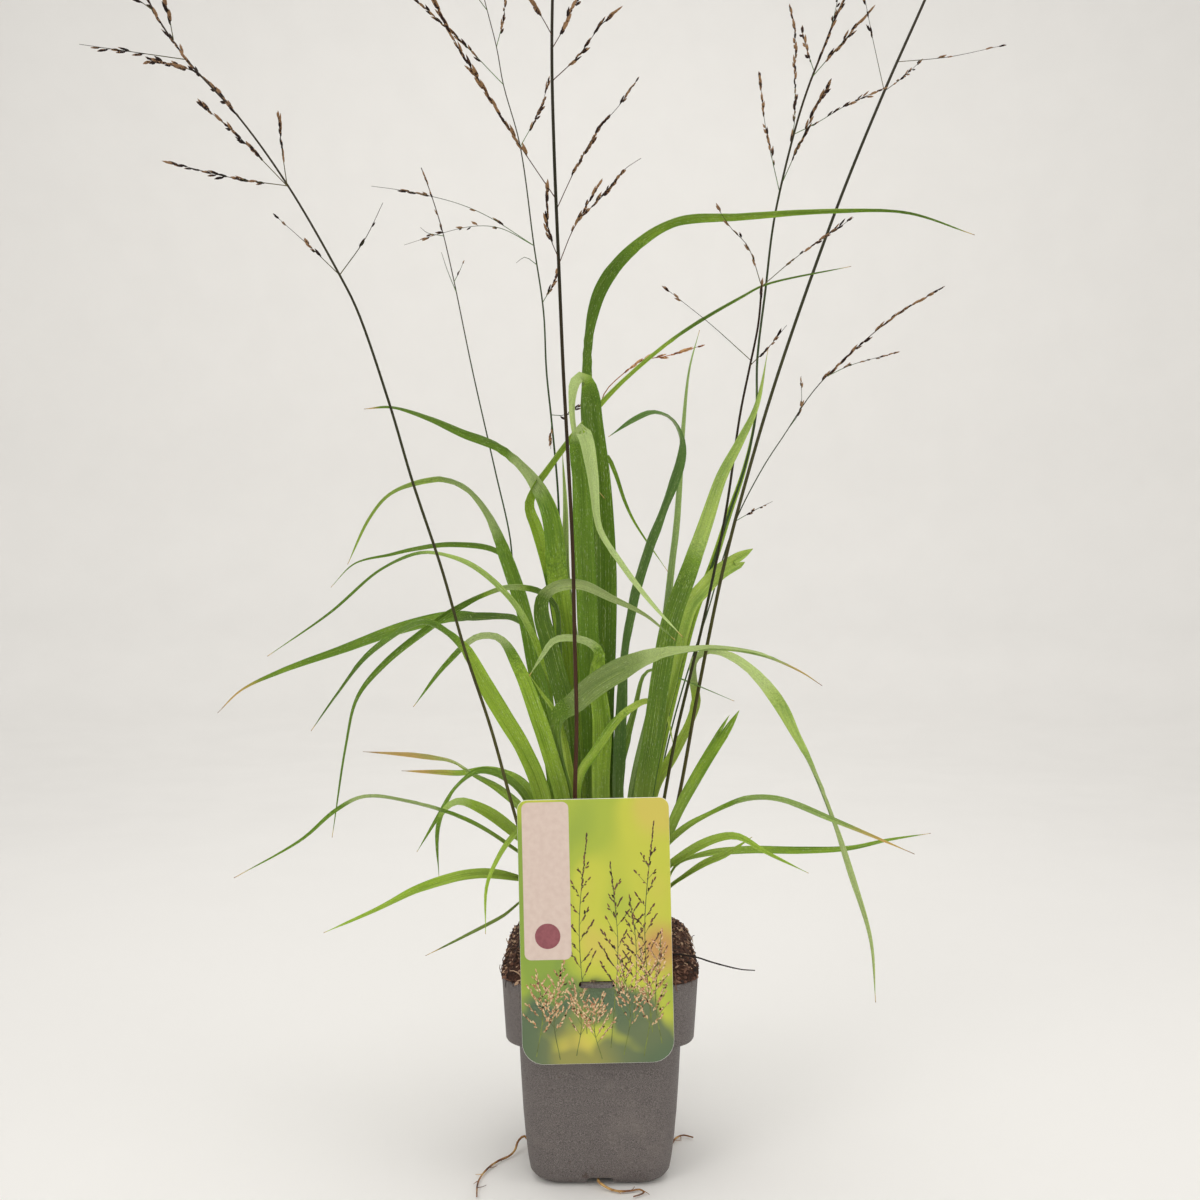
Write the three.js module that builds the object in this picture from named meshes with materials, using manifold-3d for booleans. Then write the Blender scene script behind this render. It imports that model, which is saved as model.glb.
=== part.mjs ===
// A tall moor grass in a one-litre square nursery pot, with a card label hung on the pot's rim.
// Millimetres, +Z up. The origin is the centre of the pot's base, and the pot's front faces -Y.
// The grass is a clump of leafy tufts and nine flowering culms that stand in plain holes in the peat.

import * as THREE from 'three';
import { mergeVertices } from 'three/addons/utils/BufferGeometryUtils.js';
import Module from 'manifold-3d';

const wasm = await Module();
wasm.setup();

// Pot: levels of its outside as [height, half width, corner radius].
const POT_OUTSIDE = [
  [0, 34, 13], [1.5, 37.5, 15], [5, 40, 16], [12, 41.2, 16.5], [40, 44, 17.5], [81.5, 46.3, 18],
  [83, 53.2, 19], [118, 55.4, 20],
];
const POT_WALL = 1.5;
const RIM_HEIGHT = 118;
const CORNER_STEPS = 4;
const NOTCH = { width: 16, height: 5, inner: 30, outer: 46 };

// Label: a flat card that hangs just clear of the rim on a small lug moulded on the pot.
const LABEL = { width: 83.5, height: 145.5, thickness: 0.6, top: 221, centreX: -1.7, tilt: 1.3, gap: 0.33 };
const LABEL_CORNER = { top: 5.5, bottom: 12 };
const SLOT = { width: 20, height: 3.6, centreZ: 118.9 };
const LUG = { width: 17, height: 2.4, reach: 4.6 };

// Peat: rises a little above the rim, higher at the back.
const PEAT_GAP = 0.3;
const PEAT_TOP = [
  [119.5, 53.2, 18], [123.5, 52.6, 18], [127, 49.5, 17], [129.5, 43, 15], [131, 35, 12], [132.3, 25, 9],
  [133.2, 14, 6], [133.6, 6, 3],
];
const PEAT_LUMP = 1.5;
const PEAT_BACK_RISE = 0.05;

// Leaves and culms.
const FOOT_HEIGHT = 117;
const SHEATH_TOP = 152;
const CULM_FOOT_TOP = 140;
const SHEATH_RADIUS = 3.1;
const BLADE_ROOT_HEIGHT = 146;
const HOLE_GAP = 0.3;
const HOLE_SIDES = 6;
const BLADE_THICKNESS = 0.7;
const BLADE_KEEL = 0.09;
const BLADE_STEP = 40;
const TIP_WIDTH = 0.9;
const CULM_RADIUS = [1.45, 0.75];
const CULM_FOOT_RADIUS = 1.7;
const BRANCH_RADIUS = [0.55, 0.4];
const SPIKELET = { length: 7.2, radius: 1.1, spacing: 21, lean: 0.5, spread: 1.6 };

const COLOUR = {
  pot: 0x6b6361, label: 0xc9cf3c, peat: 0x3a2a22, root: 0xb98a55, straw: 0x8a6a50,
  leaf: 0x4f8a2c, darkLeaf: 0x2f5a2a, lightLeaf: 0x8db84a, culm: 0x26331a, greenCulm: 0x4c6b34,
  brownCulm: 0x5a3a24, orangeCulm: 0xa8653f,
};

// Seeded random numbers, so that every build is the same.
function seeded(seed) {
  let state = seed;
  return () => {
    state = (state * 1664525 + 1013904223) % 4294967296;
    return state / 4294967296;
  };
}

// A closed skin through a list of rings with the same number of points, with a fan at each end.
// The two faces of a flat ring are split along the same diagonals, so a thin twisted blade stays whole.
function skin(rings) {
  const count = rings[0].length;
  const positions = [];
  const indices = [];
  for (const ring of rings) {
    for (const point of ring) positions.push(point.x, point.y, point.z);
  }
  for (let i = 0; i < rings.length - 1; i += 1) {
    for (let j = 0; j < count; j += 1) {
      const a = i * count + j;
      const b = i * count + (j + 1) % count;
      const c = b + count;
      const d = a + count;
      if (j < count / 2) indices.push(a, b, c, a, c, d);
      else indices.push(a, b, d, b, c, d);
    }
  }
  const last = (rings.length - 1) * count;
  for (let j = 1; j < count - 1; j += 1) {
    indices.push(0, j + 1, j);
    indices.push(last, last + j, last + j + 1);
  }
  const geometry = new THREE.BufferGeometry();
  geometry.setAttribute('position', new THREE.Float32BufferAttribute(positions, 3));
  geometry.setIndex(indices);
  return geometry;
}

function solid(geometry) {
  const bare = geometry.clone();
  bare.deleteAttribute('normal');
  bare.deleteAttribute('uv');
  const merged = mergeVertices(bare, 1e-4);
  const vertProperties = new Float32Array(merged.attributes.position.array);
  const triVerts = new Uint32Array(merged.index.array);
  const body = new wasm.Manifold(new wasm.Mesh({ numProp: 3, vertProperties, triVerts }));
  if (body.volume() > 0) return body;
  for (let i = 0; i < triVerts.length; i += 3) {
    const first = triVerts[i];
    triVerts[i] = triVerts[i + 1];
    triVerts[i + 1] = first;
  }
  return new wasm.Manifold(new wasm.Mesh({ numProp: 3, vertProperties, triVerts }));
}

// Joins the bodies and keeps the largest piece, so that a scrap that came loose is dropped.
function fuse(bodies) {
  const joined = bodies.reduce((sum, body) => sum.add(body));
  const pieces = joined.decompose();
  return pieces.reduce((best, piece) => (piece.volume() > best.volume() ? piece : best));
}

function named(name, body, colour, roughness) {
  const mesh = body.getMesh();
  const geometry = new THREE.BufferGeometry();
  geometry.setAttribute('position', new THREE.BufferAttribute(mesh.vertProperties, 3));
  geometry.setIndex(new THREE.BufferAttribute(mesh.triVerts, 1));
  geometry.computeVertexNormals();
  const material = new THREE.MeshStandardMaterial({ color: colour, roughness, metalness: 0 });
  const result = new THREE.Mesh(geometry, material);
  result.name = name;
  return result;
}

function roundedSquare(height, half, radius, steps) {
  const ring = [];
  const centre = half - radius;
  const corners = [[1, 1], [-1, 1], [-1, -1], [1, -1]];
  corners.forEach(([sideX, sideY], corner) => {
    for (let i = 0; i <= steps; i += 1) {
      const angle = (corner + i / steps) * Math.PI / 2;
      const x = sideX * centre + radius * Math.cos(angle);
      const y = sideY * centre + radius * Math.sin(angle);
      ring.push(new THREE.Vector3(x, y, height));
    }
  });
  return ring;
}

// Levels moved in and up by the same amount: the pot's inside, and the peat inside that.
function movedIn(levels, by) {
  return levels.map(([height, half, radius]) => [height + by, half - by, radius - by]);
}

function loft(levels) {
  return skin(levels.map(([height, half, radius]) => roundedSquare(height, half, radius, CORNER_STEPS)));
}

function buildPot() {
  let pot = solid(loft(POT_OUTSIDE)).subtract(solid(loft(movedIn(POT_OUTSIDE, POT_WALL))));

  const notchReach = NOTCH.outer - NOTCH.inner;
  for (let side = 0; side < 4; side += 1) {
    const notch = new THREE.BoxGeometry(notchReach, NOTCH.width, NOTCH.height + 2);
    notch.translate((NOTCH.inner + NOTCH.outer) / 2, 0, NOTCH.height / 2 - 1);
    notch.rotateZ(side * Math.PI / 2);
    pot = pot.subtract(solid(notch));
  }

  const rimOuter = POT_OUTSIDE[POT_OUTSIDE.length - 1][1];
  const lug = new THREE.BoxGeometry(LUG.width, LUG.reach, LUG.height);
  lug.translate(LABEL.centreX, -rimOuter - LUG.reach / 2 + POT_WALL / 2, SLOT.centreZ);
  return named('pot', fuse([pot, solid(lug)]), COLOUR.pot, 0.55);
}

function buildLabel() {
  const halfWidth = LABEL.width / 2;
  const low = LABEL.top - LABEL.height;
  const { top, bottom } = LABEL_CORNER;
  const outline = new THREE.Shape();
  outline.moveTo(-halfWidth + bottom, low);
  outline.absarc(halfWidth - bottom, low + bottom, bottom, -Math.PI / 2, 0, false);
  outline.absarc(halfWidth - top, LABEL.top - top, top, 0, Math.PI / 2, false);
  outline.absarc(-halfWidth + top, LABEL.top - top, top, Math.PI / 2, Math.PI, false);
  outline.absarc(-halfWidth + bottom, low + bottom, bottom, Math.PI, Math.PI * 1.5, false);

  const slot = new THREE.Path();
  const slotEnd = SLOT.height / 2;
  const slotReach = SLOT.width / 2 - slotEnd;
  slot.absarc(slotReach, SLOT.centreZ, slotEnd, -Math.PI / 2, Math.PI / 2, false);
  slot.absarc(-slotReach, SLOT.centreZ, slotEnd, Math.PI / 2, Math.PI * 1.5, false);
  outline.holes.push(slot);

  const card = new THREE.ExtrudeGeometry(outline, {
    depth: LABEL.thickness, bevelEnabled: false, curveSegments: 5,
  });
  card.translate(0, -SLOT.centreZ, 0);
  card.rotateZ(THREE.MathUtils.degToRad(LABEL.tilt));
  card.rotateX(Math.PI / 2);
  const rimOuter = POT_OUTSIDE[POT_OUTSIDE.length - 1][1];
  card.translate(LABEL.centreX, -rimOuter - LABEL.gap, SLOT.centreZ);
  return named('label', solid(card), COLOUR.label, 0.4);
}

// A rod with a ring at each of its points, tapering from the first radius to the last.
function rod(points, radii, sides) {
  const rings = [];
  const last = points.length - 1;
  let across = new THREE.Vector3(1, 0, 0);
  points.forEach((centre, i) => {
    const tangent = points[Math.min(last, i + 1)].clone().sub(points[Math.max(0, i - 1)]).normalize();
    across = across.clone().addScaledVector(tangent, -across.dot(tangent)).normalize();
    const other = new THREE.Vector3().crossVectors(tangent, across);
    const radius = THREE.MathUtils.lerp(radii[0], radii[1], i / last);
    const ring = [];
    for (let j = 0; j < sides; j += 1) {
      const angle = j / sides * Math.PI * 2;
      ring.push(centre.clone()
        .addScaledVector(across, radius * Math.cos(angle))
        .addScaledVector(other, radius * Math.sin(angle)));
    }
    rings.push(ring);
  });
  return solid(skin(rings));
}

function vectors(rows) {
  return rows.map(([x, y, z]) => new THREE.Vector3(x, y, z));
}

// Points along a smooth curve through the rows.
function smooth(rows, step) {
  const curve = new THREE.CatmullRomCurve3(vectors(rows), false, 'centripetal');
  return curve.getSpacedPoints(Math.round(curve.getLength() / step));
}

// How wide a blade is along its length: narrow in the sheath, full in the middle, fine at the tip.
function bladeWidth(full, along, torn) {
  const root = 0.5 + 0.5 * Math.min(1, along / 0.25);
  const fine = along < 0.5 ? 1 : 1 - 0.92 * ((along - 0.5) / 0.5) ** 1.7;
  return Math.max(TIP_WIDTH, full * Math.min(root, torn ? 1 : fine));
}

// A grass blade: a thin keeled strip along a curve. Each row is [x, y, z, roll in degrees], where the
// roll turns the blade about its own length away from facing the front.
function blade(foot, { width, path, torn }) {
  const rows = [[foot[0], foot[1], BLADE_ROOT_HEIGHT, path[0][3]], ...path];
  const curve = new THREE.CatmullRomCurve3(vectors(rows), false, 'centripetal');
  const length = curve.getLength();
  const steps = Math.max(5, Math.round(length / BLADE_STEP));
  const front = new THREE.Vector3(0, 1, 0);
  const rings = [];
  for (let i = 0; i <= steps; i += 1) {
    const along = i / steps;
    const place = curve.getUtoTmapping(along) * (rows.length - 1);
    const row = Math.min(rows.length - 2, Math.floor(place));
    const roll = THREE.MathUtils.lerp(rows[row][3], rows[row + 1][3], place - row);
    const tangent = curve.getTangentAt(along);
    const centre = curve.getPointAt(along);
    const side = new THREE.Vector3().crossVectors(tangent, front).normalize();
    side.applyAxisAngle(tangent, THREE.MathUtils.degToRad(roll));
    const up = new THREE.Vector3().crossVectors(tangent, side);
    const half = bladeWidth(width, along, torn) / 2;
    const keel = half * 2 * BLADE_KEEL;
    const at = (across, lift) => centre.clone()
      .addScaledVector(side, across)
      .addScaledVector(up, lift);
    const top = BLADE_THICKNESS / 2;
    rings.push([
      at(-half, top), at(0, top - keel), at(half, top),
      at(half, -top), at(0, -top - keel), at(-half, -top),
    ]);
  }
  return solid(skin(rings));
}

// The straight foot that stands in its hole in the peat.
function footRod(foot, radius, top) {
  const rows = [[foot[0], foot[1], FOOT_HEIGHT], [foot[0], foot[1], top]];
  return rod(vectors(rows), [radius, radius * 0.8], HOLE_SIDES);
}

// One tuft: several blades that grow from one sheathed shoot.
function buildTuft({ name, foot, blades, colour = COLOUR.leaf }) {
  const sheath = footRod(foot, SHEATH_RADIUS, SHEATH_TOP);
  const bodies = [sheath, ...blades.map((each) => blade(foot, each))];
  return named(name, fuse(bodies), colour, 0.6);
}

// A three-sided spindle with its lower point at the base, along a direction.
function spindle(base, direction, length, radius) {
  const middle = length * 0.42;
  const profile = [new THREE.Vector2(0, 0), new THREE.Vector2(radius, middle), new THREE.Vector2(0, length)];
  const grain = new THREE.LatheGeometry(profile, 3);
  grain.applyQuaternion(new THREE.Quaternion().setFromUnitVectors(
    new THREE.Vector3(0, 1, 0), direction));
  grain.translate(base.x, base.y, base.z);
  return solid(grain);
}

// Spikelets stand along a branch, left and right in turn, rooted in it and leaning towards its tip.
function spikelets(points, start, random) {
  const curve = new THREE.CurvePath();
  for (let i = 1; i < points.length; i += 1) curve.add(new THREE.LineCurve3(points[i - 1], points[i]));
  const count = Math.max(1, Math.round(curve.getLength() * (1 - start) / SPIKELET.spacing));
  const bodies = [];
  for (let i = 0; i <= count; i += 1) {
    const last = i === count;
    const along = last ? 0.995 : start + (i + 0.4 * random()) / count * (1 - start);
    const tangent = curve.getTangent(along);
    const side = new THREE.Vector3(0.2, 1, 0.1).cross(tangent).normalize();
    const turn = (i % 2) * Math.PI + SPIKELET.spread * (random() - 0.5);
    side.applyAxisAngle(tangent, turn);
    const lean = last ? 0 : SPIKELET.lean * (0.7 + 0.6 * random());
    const direction = tangent.clone().addScaledVector(side, lean).normalize();
    const length = SPIKELET.length * (0.85 + 0.3 * random());
    bodies.push(spindle(curve.getPoint(along), direction, length, SPIKELET.radius));
  }
  return bodies;
}

// One flowering culm: its stem, the branches of its panicle and their spikelets, grown as one piece.
function buildCulm({ name, foot, stem, branches, bare = 0.3, headFrom, blades = [], colour, seed }) {
  const random = seeded(seed);
  const points = vectors([[foot[0], foot[1], CULM_FOOT_TOP - 1], ...stem]);
  const bodies = [footRod(foot, CULM_FOOT_RADIUS, CULM_FOOT_TOP)];
  bodies.push(rod(points, CULM_RADIUS, 5));
  blades.forEach((each) => bodies.push(blade(foot, each)));
  for (const branch of branches) {
    bodies.push(rod(vectors(branch), BRANCH_RADIUS, 3));
    bodies.push(...spikelets(vectors(branch), bare, random));
  }
  if (headFrom !== undefined) bodies.push(...spikelets(points, headFrom, random));
  return named(name, fuse(bodies), colour, 0.6);
}

// Leafy tufts, from the left of the clump to the right.
const TUFTS = [
  {
    name: 'tuft_left_lowest',
    foot: [-34, -18],
    blades: [
      { width: 6.6, path: [[-36, -22, 166, 0], [-47, -28, 171, 5], [-70, -41, 176, 40],
        [-95, -67, 175, 45], [-116, -97, 170, 45], [-137, -120, 165, 45]] },
      { width: 3, path: [[-40, -15, 157, 0], [-58, -8, 143, 40], [-84, -5, 129, 40], [-104, 0, 118, 40]] },
      { width: 3.8, path: [[-39, -27, 190, 40], [-44, -34, 200, 40], [-50, -42, 196, 35],
        [-57, -51, 186, 25], [-62, -58, 173, 0], [-62, -65, 149, 0]] },
    ],
  },
  {
    name: 'tuft_left_low',
    foot: [-36, -4],
    blades: [
      { width: 7.6, path: [[-42, -8, 184, 20], [-54, -8, 196, 20], [-69, -11, 207, 40],
        [-83, -14, 212, 65], [-91, -17, 207, 60], [-94, -20, 195, 50], [-93, -22, 170, 50]] },
      { width: 3.4, path: [[-42, -12, 176, 50], [-54, -18, 188, 60], [-76, -28, 204, 60],
        [-105, -45, 217, 60], [-129, -63, 223, 55], [-142, -72, 217, 0], [-157, -83, 204, 0],
        [-187, -102, 188, 0]] },
    ],
  },
  {
    name: 'tuft_left_back',
    foot: [-34, 12],
    blades: [
      { width: 5.4, path: [[-44, 12, 208, 40], [-58, 16, 222, 25], [-74, 22, 225, 15],
        [-89, 30, 214, 45], [-101, 38, 195, 0], [-117, 52, 169, 0]] },
      { width: 5.8, path: [[-43, 18, 196, -20], [-61, 29, 212, -15], [-80, 43, 220, -50],
        [-97, 62, 226, -70], [-122, 88, 226, -35], [-169, 140, 222, -35]] },
      { width: 5.6, path: [[-37, 17, 194, 10], [-45, 22, 215, 10], [-66, 38, 223, 55],
        [-90, 61, 218, 40], [-108, 80, 216, 0], [-137, 114, 212, 0]] },
    ],
  },
  {
    name: 'tuft_left_front_arch',
    foot: [-25, -24],
    blades: [
      { width: 10, path: [[-33, -28, 217, 10], [-43, -34, 244, 0], [-54, -40, 264, 15],
        [-65, -48, 284, 35], [-74, -56, 302, 58], [-86, -63, 314, 72], [-95, -68, 318, 72],
        [-105, -74, 314, 68], [-123, -84, 300, 55], [-137, -89, 281, 35], [-150, -92, 262, 0]] },
    ],
  },
  {
    name: 'tuft_left_broad_arch',
    foot: [-15, -24],
    blades: [
      { width: 9.4, path: [[-22, -30, 218, 25], [-27, -32, 237, 15], [-36, -33, 265, 15],
        [-46, -34, 291, 0], [-57, -36, 308, 45], [-69, -38, 309, 45], [-86, -45, 294, 0],
        [-103, -53, 271, 0]] },
    ],
  },
  {
    name: 'tuft_left_long',
    foot: [-22, 8],
    blades: [
      { width: 9.8, path: [[-27, 8, 211, 0], [-30, 10, 251, -10], [-38, 12, 284, -10],
        [-46, 14, 323, -20], [-57, 16, 356, -30], [-67, 19, 380, -45], [-81, 23, 398, -50],
        [-96, 29, 405, -65], [-113, 36, 404, -60], [-134, 46, 397, -50], [-148, 53, 382, -15],
        [-163, 60, 353, -15]] },
      { width: 8.8, path: [[-29, 16, 245, 65], [-34, 20, 287, 65], [-43, 24, 310, 70],
        [-53, 28, 318, 70], [-76, 38, 319, 55], [-95, 51, 319, 35], [-133, 82, 311, 0],
        [-178, 117, 296, 0], [-228, 141, 279, 0], [-261, 156, 264, 0], [-281, 167, 247, 0]] },
      { width: 4.6, path: [[-37, 20, 269, -50], [-45, 28, 318, -50], [-53, 34, 349, -45],
        [-65, 42, 361, -25], [-95, 61, 366, 0], [-124, 86, 364, 0], [-142, 102, 361, 0],
        [-173, 127, 355, 0], [-192, 141, 339, 0]] },
    ],
  },
  {
    name: 'tuft_left_narrow',
    foot: [-18, -6],
    blades: [
      { width: 4.4, path: [[-18, -6, 214, 25], [-23, -7, 269, 35], [-32, -8, 290, 35],
        [-42, -9, 314, 35], [-53, -10, 331, 35], [-73, -13, 349, 30], [-90, -18, 356, 40],
        [-104, -23, 357, 35], [-125, -32, 347, 5], [-151, -43, 323, 0], [-183, -55, 299, 0]] },
      { width: 5.6, path: [[-20, -2, 213, -40], [-23, -1, 270, -50], [-24, 0, 306, -60],
        [-26, 1, 326, -60], [-35, 2, 335, -50], [-54, 1, 338, -50], [-68, -1, 334, -40],
        [-88, -6, 323, -25], [-104, -12, 311, 0], [-125, -20, 293, 0], [-139, -27, 274, 0],
        [-144, -34, 248, 0], [-150, -43, 197, 0]] },
    ],
  },
  {
    name: 'tuft_middle_left_tall',
    foot: [-9, 7],
    blades: [
      { width: 12.6, path: [[-13, 4, 210, 0], [-16, 5, 247, -20], [-20, 6, 304, 0], [-25, 7, 339, 0],
        [-30, 9, 382, -10], [-41, 12, 404, -15], [-58, 16, 421, -40], [-86, 30, 434, 0],
        [-108, 46, 445, 0], [-136, 69, 456, 0], [-157, 83, 457, 0]] },
      { width: 7.4, path: [[-12, 14, 208, 0], [-22, 16, 293, 5], [-30, 18, 342, 5], [-38.5, 18, 373, 5],
        [-43.5, 16, 387, 45], [-41, 14, 396, 60], [-28, 12, 415, 64], [-12, 11, 435, 64],
        [13, 10, 462, 62], [49, 7, 491, 60], [85, 5, 512, 56], [99, 4, 519, 50], [149, -3, 528, 40]] },
      { width: 8.2, path: [[-10, 10, 209, 30], [-17, 12, 306, 10], [-21, 14, 344, 0], [-21, 15, 385, 0],
        [-23, 16, 421, 0]] },
    ],
  },
  {
    name: 'tuft_middle_folded',
    foot: [-9, -13],
    colour: COLOUR.lightLeaf,
    blades: [
      { width: 11, path: [[-16, -17, 219, 10], [-17, -18, 245, 0], [-20, -19, 268, 0],
        [-25, -20, 288, 0], [-30, -21, 307, 0], [-34, -22, 322, 10], [-33, -24, 332, 45],
        [-25, -28, 338, 35], [-11, -33, 339, 30], [7, -42, 331, 35], [25, -52, 322, 45],
        [41, -64, 308, 45]] },
    ],
  },
  {
    name: 'tuft_middle_broad',
    foot: [2, -5],
    blades: [
      { width: 18, path: [[0, -4, 213, 30], [-0.5, -3, 271, 20], [0.5, -2.5, 305, 10], [1, -2, 344, 0],
        [-1, -1, 401, 0], [-4, 0, 434, 0], [-6, -1, 454, 0], [-10, -5, 461, 20], [-14, -9, 458, 30],
        [-16, -11, 444, 15], [-14, -12.5, 425, 10], [-8, -13.5, 403, 10], [3, -14, 389, 0]] },
      { width: 12.4, path: [[-3, -10, 219, 0], [-7, -14, 318, -10], [-9, -16, 362, -10],
        [-11, -18, 400, -30], [-13, -21, 419, -45], [-11, -26, 427, -55], [-8, -33, 421, -45],
        [-4, -48, 396, -45], [-1, -62, 370, -50], [11, -84, 349, -55], [27, -112, 327, -30],
        [40, -136, 312, -30]] },
    ],
  },
  {
    name: 'tuft_middle_bent_left',
    foot: [5, -19],
    blades: [
      { width: 11.4, path: [[0, -20, 216, 30], [1, -22, 259, 0], [-2, -24, 287, 0],
        [-1, -26, 300, 35], [-6, -28, 305, 60], [-15, -31, 308, 45], [-26, -34, 307, 25],
        [-33, -37, 298, 0], [-40, -40, 287, 0]] },
    ],
  },
  {
    name: 'tuft_front_reaching_right',
    foot: [-3, -29],
    colour: COLOUR.lightLeaf,
    blades: [
      { width: 13.4, path: [[-17, -28, 216, -55], [-24, -31, 247, -60], [-23, -34, 264, -55],
        [-15, -38, 271, -30], [-2, -46, 283, -5], [20, -62, 296, -30], [34, -74, 301, -62],
        [56, -95, 305, -60], [76, -132, 304, -74], [90, -174, 298, -68], [96, -196, 293, -60]] },
      { width: 6.2, path: [[-16, -24, 220, 20], [-25, -26, 264, 0], [-33, -27, 276, 0],
        [-41, -28, 288, 0]] },
      { width: 6, path: [[-13, -31, 219, -40], [-10, -32, 233, -30], [-3, -32, 243, -30],
        [10, -26, 261, -30], [22, -13, 269, -25], [29, -3, 270, -25], [38, 6, 266, -10],
        [45, 12, 240, 0]] },
    ],
  },
  {
    name: 'tuft_right_dark',
    foot: [12, 3],
    colour: COLOUR.darkLeaf,
    blades: [
      { width: 12, path: [[10, -2, 213, 50], [12, -3, 267, 55], [14, -4, 301, 55], [19, -5, 329, 52],
        [28, -6, 360, 50], [38, -6, 386, 45], [47, -5, 412, 10], [48, -4, 427, 30], [42, -4, 438, 75],
        [32, -5, 441, 25], [21, -6, 437, 0], [5, -9, 426, 0]] },
      { width: 6, path: [[8, 6, 212, -25], [13, 7, 236, 0], [21, 9, 264, -20], [27, 12, 285, -50],
        [33, 12, 288, -55], [47, 11, 283, -60], [62, 9, 277, -50], [81, 9, 269, -50]] },
    ],
  },
  {
    name: 'tuft_back_tall_arch',
    foot: [-2, 20],
    blades: [
      { width: 5, path: [[0, 13, 210, 0], [1, 15, 306, 15], [1, 17, 379, 0], [1, 18, 409, 0],
        [4, 17, 418, 25], [9, 15, 408, 5], [15, 13, 390, 0], [21, 12, 377, 0], [41, 9, 347, 0]] },
      { width: 10.8, path: [[-5, 22, 209, 0], [-7, 20, 306, 45], [-9, 22, 403, 45], [-9, 22, 465, 45],
        [-7, 18, 494, 20], [0, 9, 517, 0], [15, -6, 534, 15], [41, -21, 548, 55], [80, -46, 544, 62],
        [128, -68, 540, 62], [162, -83, 534, 60], [193, -97, 518, 60]] },
    ],
  },
  {
    name: 'tuft_right_upright',
    foot: [14, 14],
    colour: COLOUR.darkLeaf,
    blades: [
      { width: 5.6, path: [[19, 16, 210, 0], [32, 18, 269, 30], [40, 20, 318, 30], [44, 20, 354, 20],
        [47, 20, 379, 0], [51, 20, 437, 5], [55, 25, 472, 0], [62, 32, 498, 0]] },
    ],
  },
  {
    name: 'tuft_right_broad',
    foot: [19, -10],
    colour: COLOUR.lightLeaf,
    blades: [
      { width: 12, path: [[25, -16, 215, 0], [30, -18, 249, 15], [35, -19, 286, 15], [41, -19, 318, 15],
        [52, -17, 348, 0], [62, -14, 376, 0], [71, -12, 402, 0], [82, -10, 423, 10], [92, -8, 444, 50],
        [100, -1, 479, 50]] },
      { width: 10, torn: true, path: [[28, -8, 214, -60], [37, -6, 259, -50], [46, 0, 300, -20],
        [54, 7, 327, 0], [62, 14, 336, 0], [68, 22, 342, 0], [75, 30, 348, 0], [98, 48, 361, 0]] },
    ],
  },
  {
    name: 'tuft_right_cut',
    foot: [32, -25],
    blades: [
      { width: 8, torn: true, path: [[34, -26, 181, 30], [42, -27, 204, 20], [57, -28, 232, 0],
        [78, -35, 268, 0]] },
    ],
  },
  {
    name: 'tuft_right_long_droop',
    foot: [32, 24],
    colour: COLOUR.lightLeaf,
    blades: [
      { width: 8.6, path: [[34, 27, 212, -40], [45, 27, 233, -40], [56, 27, 254, -35],
        [60, 28, 268, -30], [58, 27, 283, -50], [59, 26, 293, -65], [67, 24, 298, -60],
        [80, 20, 295, -45], [94, 15, 285, -30], [107, 4, 268, -5], [115, -5, 251, -50],
        [124, -17, 231, -60], [132, -30, 207, -65], [141, -43, 175, -60], [149, -54, 143, -55],
        [150, -62, 111, -55]] },
    ],
  },
  {
    name: 'tuft_right_low',
    foot: [36, -8],
    blades: [
      { width: 4.6, path: [[45, 2, 171, -35], [62, 6, 177, -35], [88, 15, 178, -40],
        [126, 33, 174, -35], [159, 49, 172, -30], [187, 61, 175, -15], [217, 72, 177, -15]] },
      { width: 5.8, path: [[39, -12, 160, 0], [51, -14, 170, -25], [62, -15, 177, -40],
        [73, -17, 182, -55], [88, -21, 193, 0]] },
    ],
  },
  {
    name: 'tuft_right_front_low',
    foot: [22, -32],
    blades: [
      { width: 5, path: [[34, -36, 186, -30], [47, -40, 201, -40], [62, -46, 211, -70],
        [80, -58, 221, -55], [96, -71, 223, -55], [119, -95, 217, -40], [140, -111, 210, 0],
        [156, -120, 204, 0]] },
      { width: 5.8, path: [[34, -34, 174, -25], [48, -36, 186, -15], [66, -41, 196, -55],
        [77, -46, 198, -55], [91, -53, 191, -55], [113, -65, 182, -55]] },
    ],
  },
];

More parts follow.
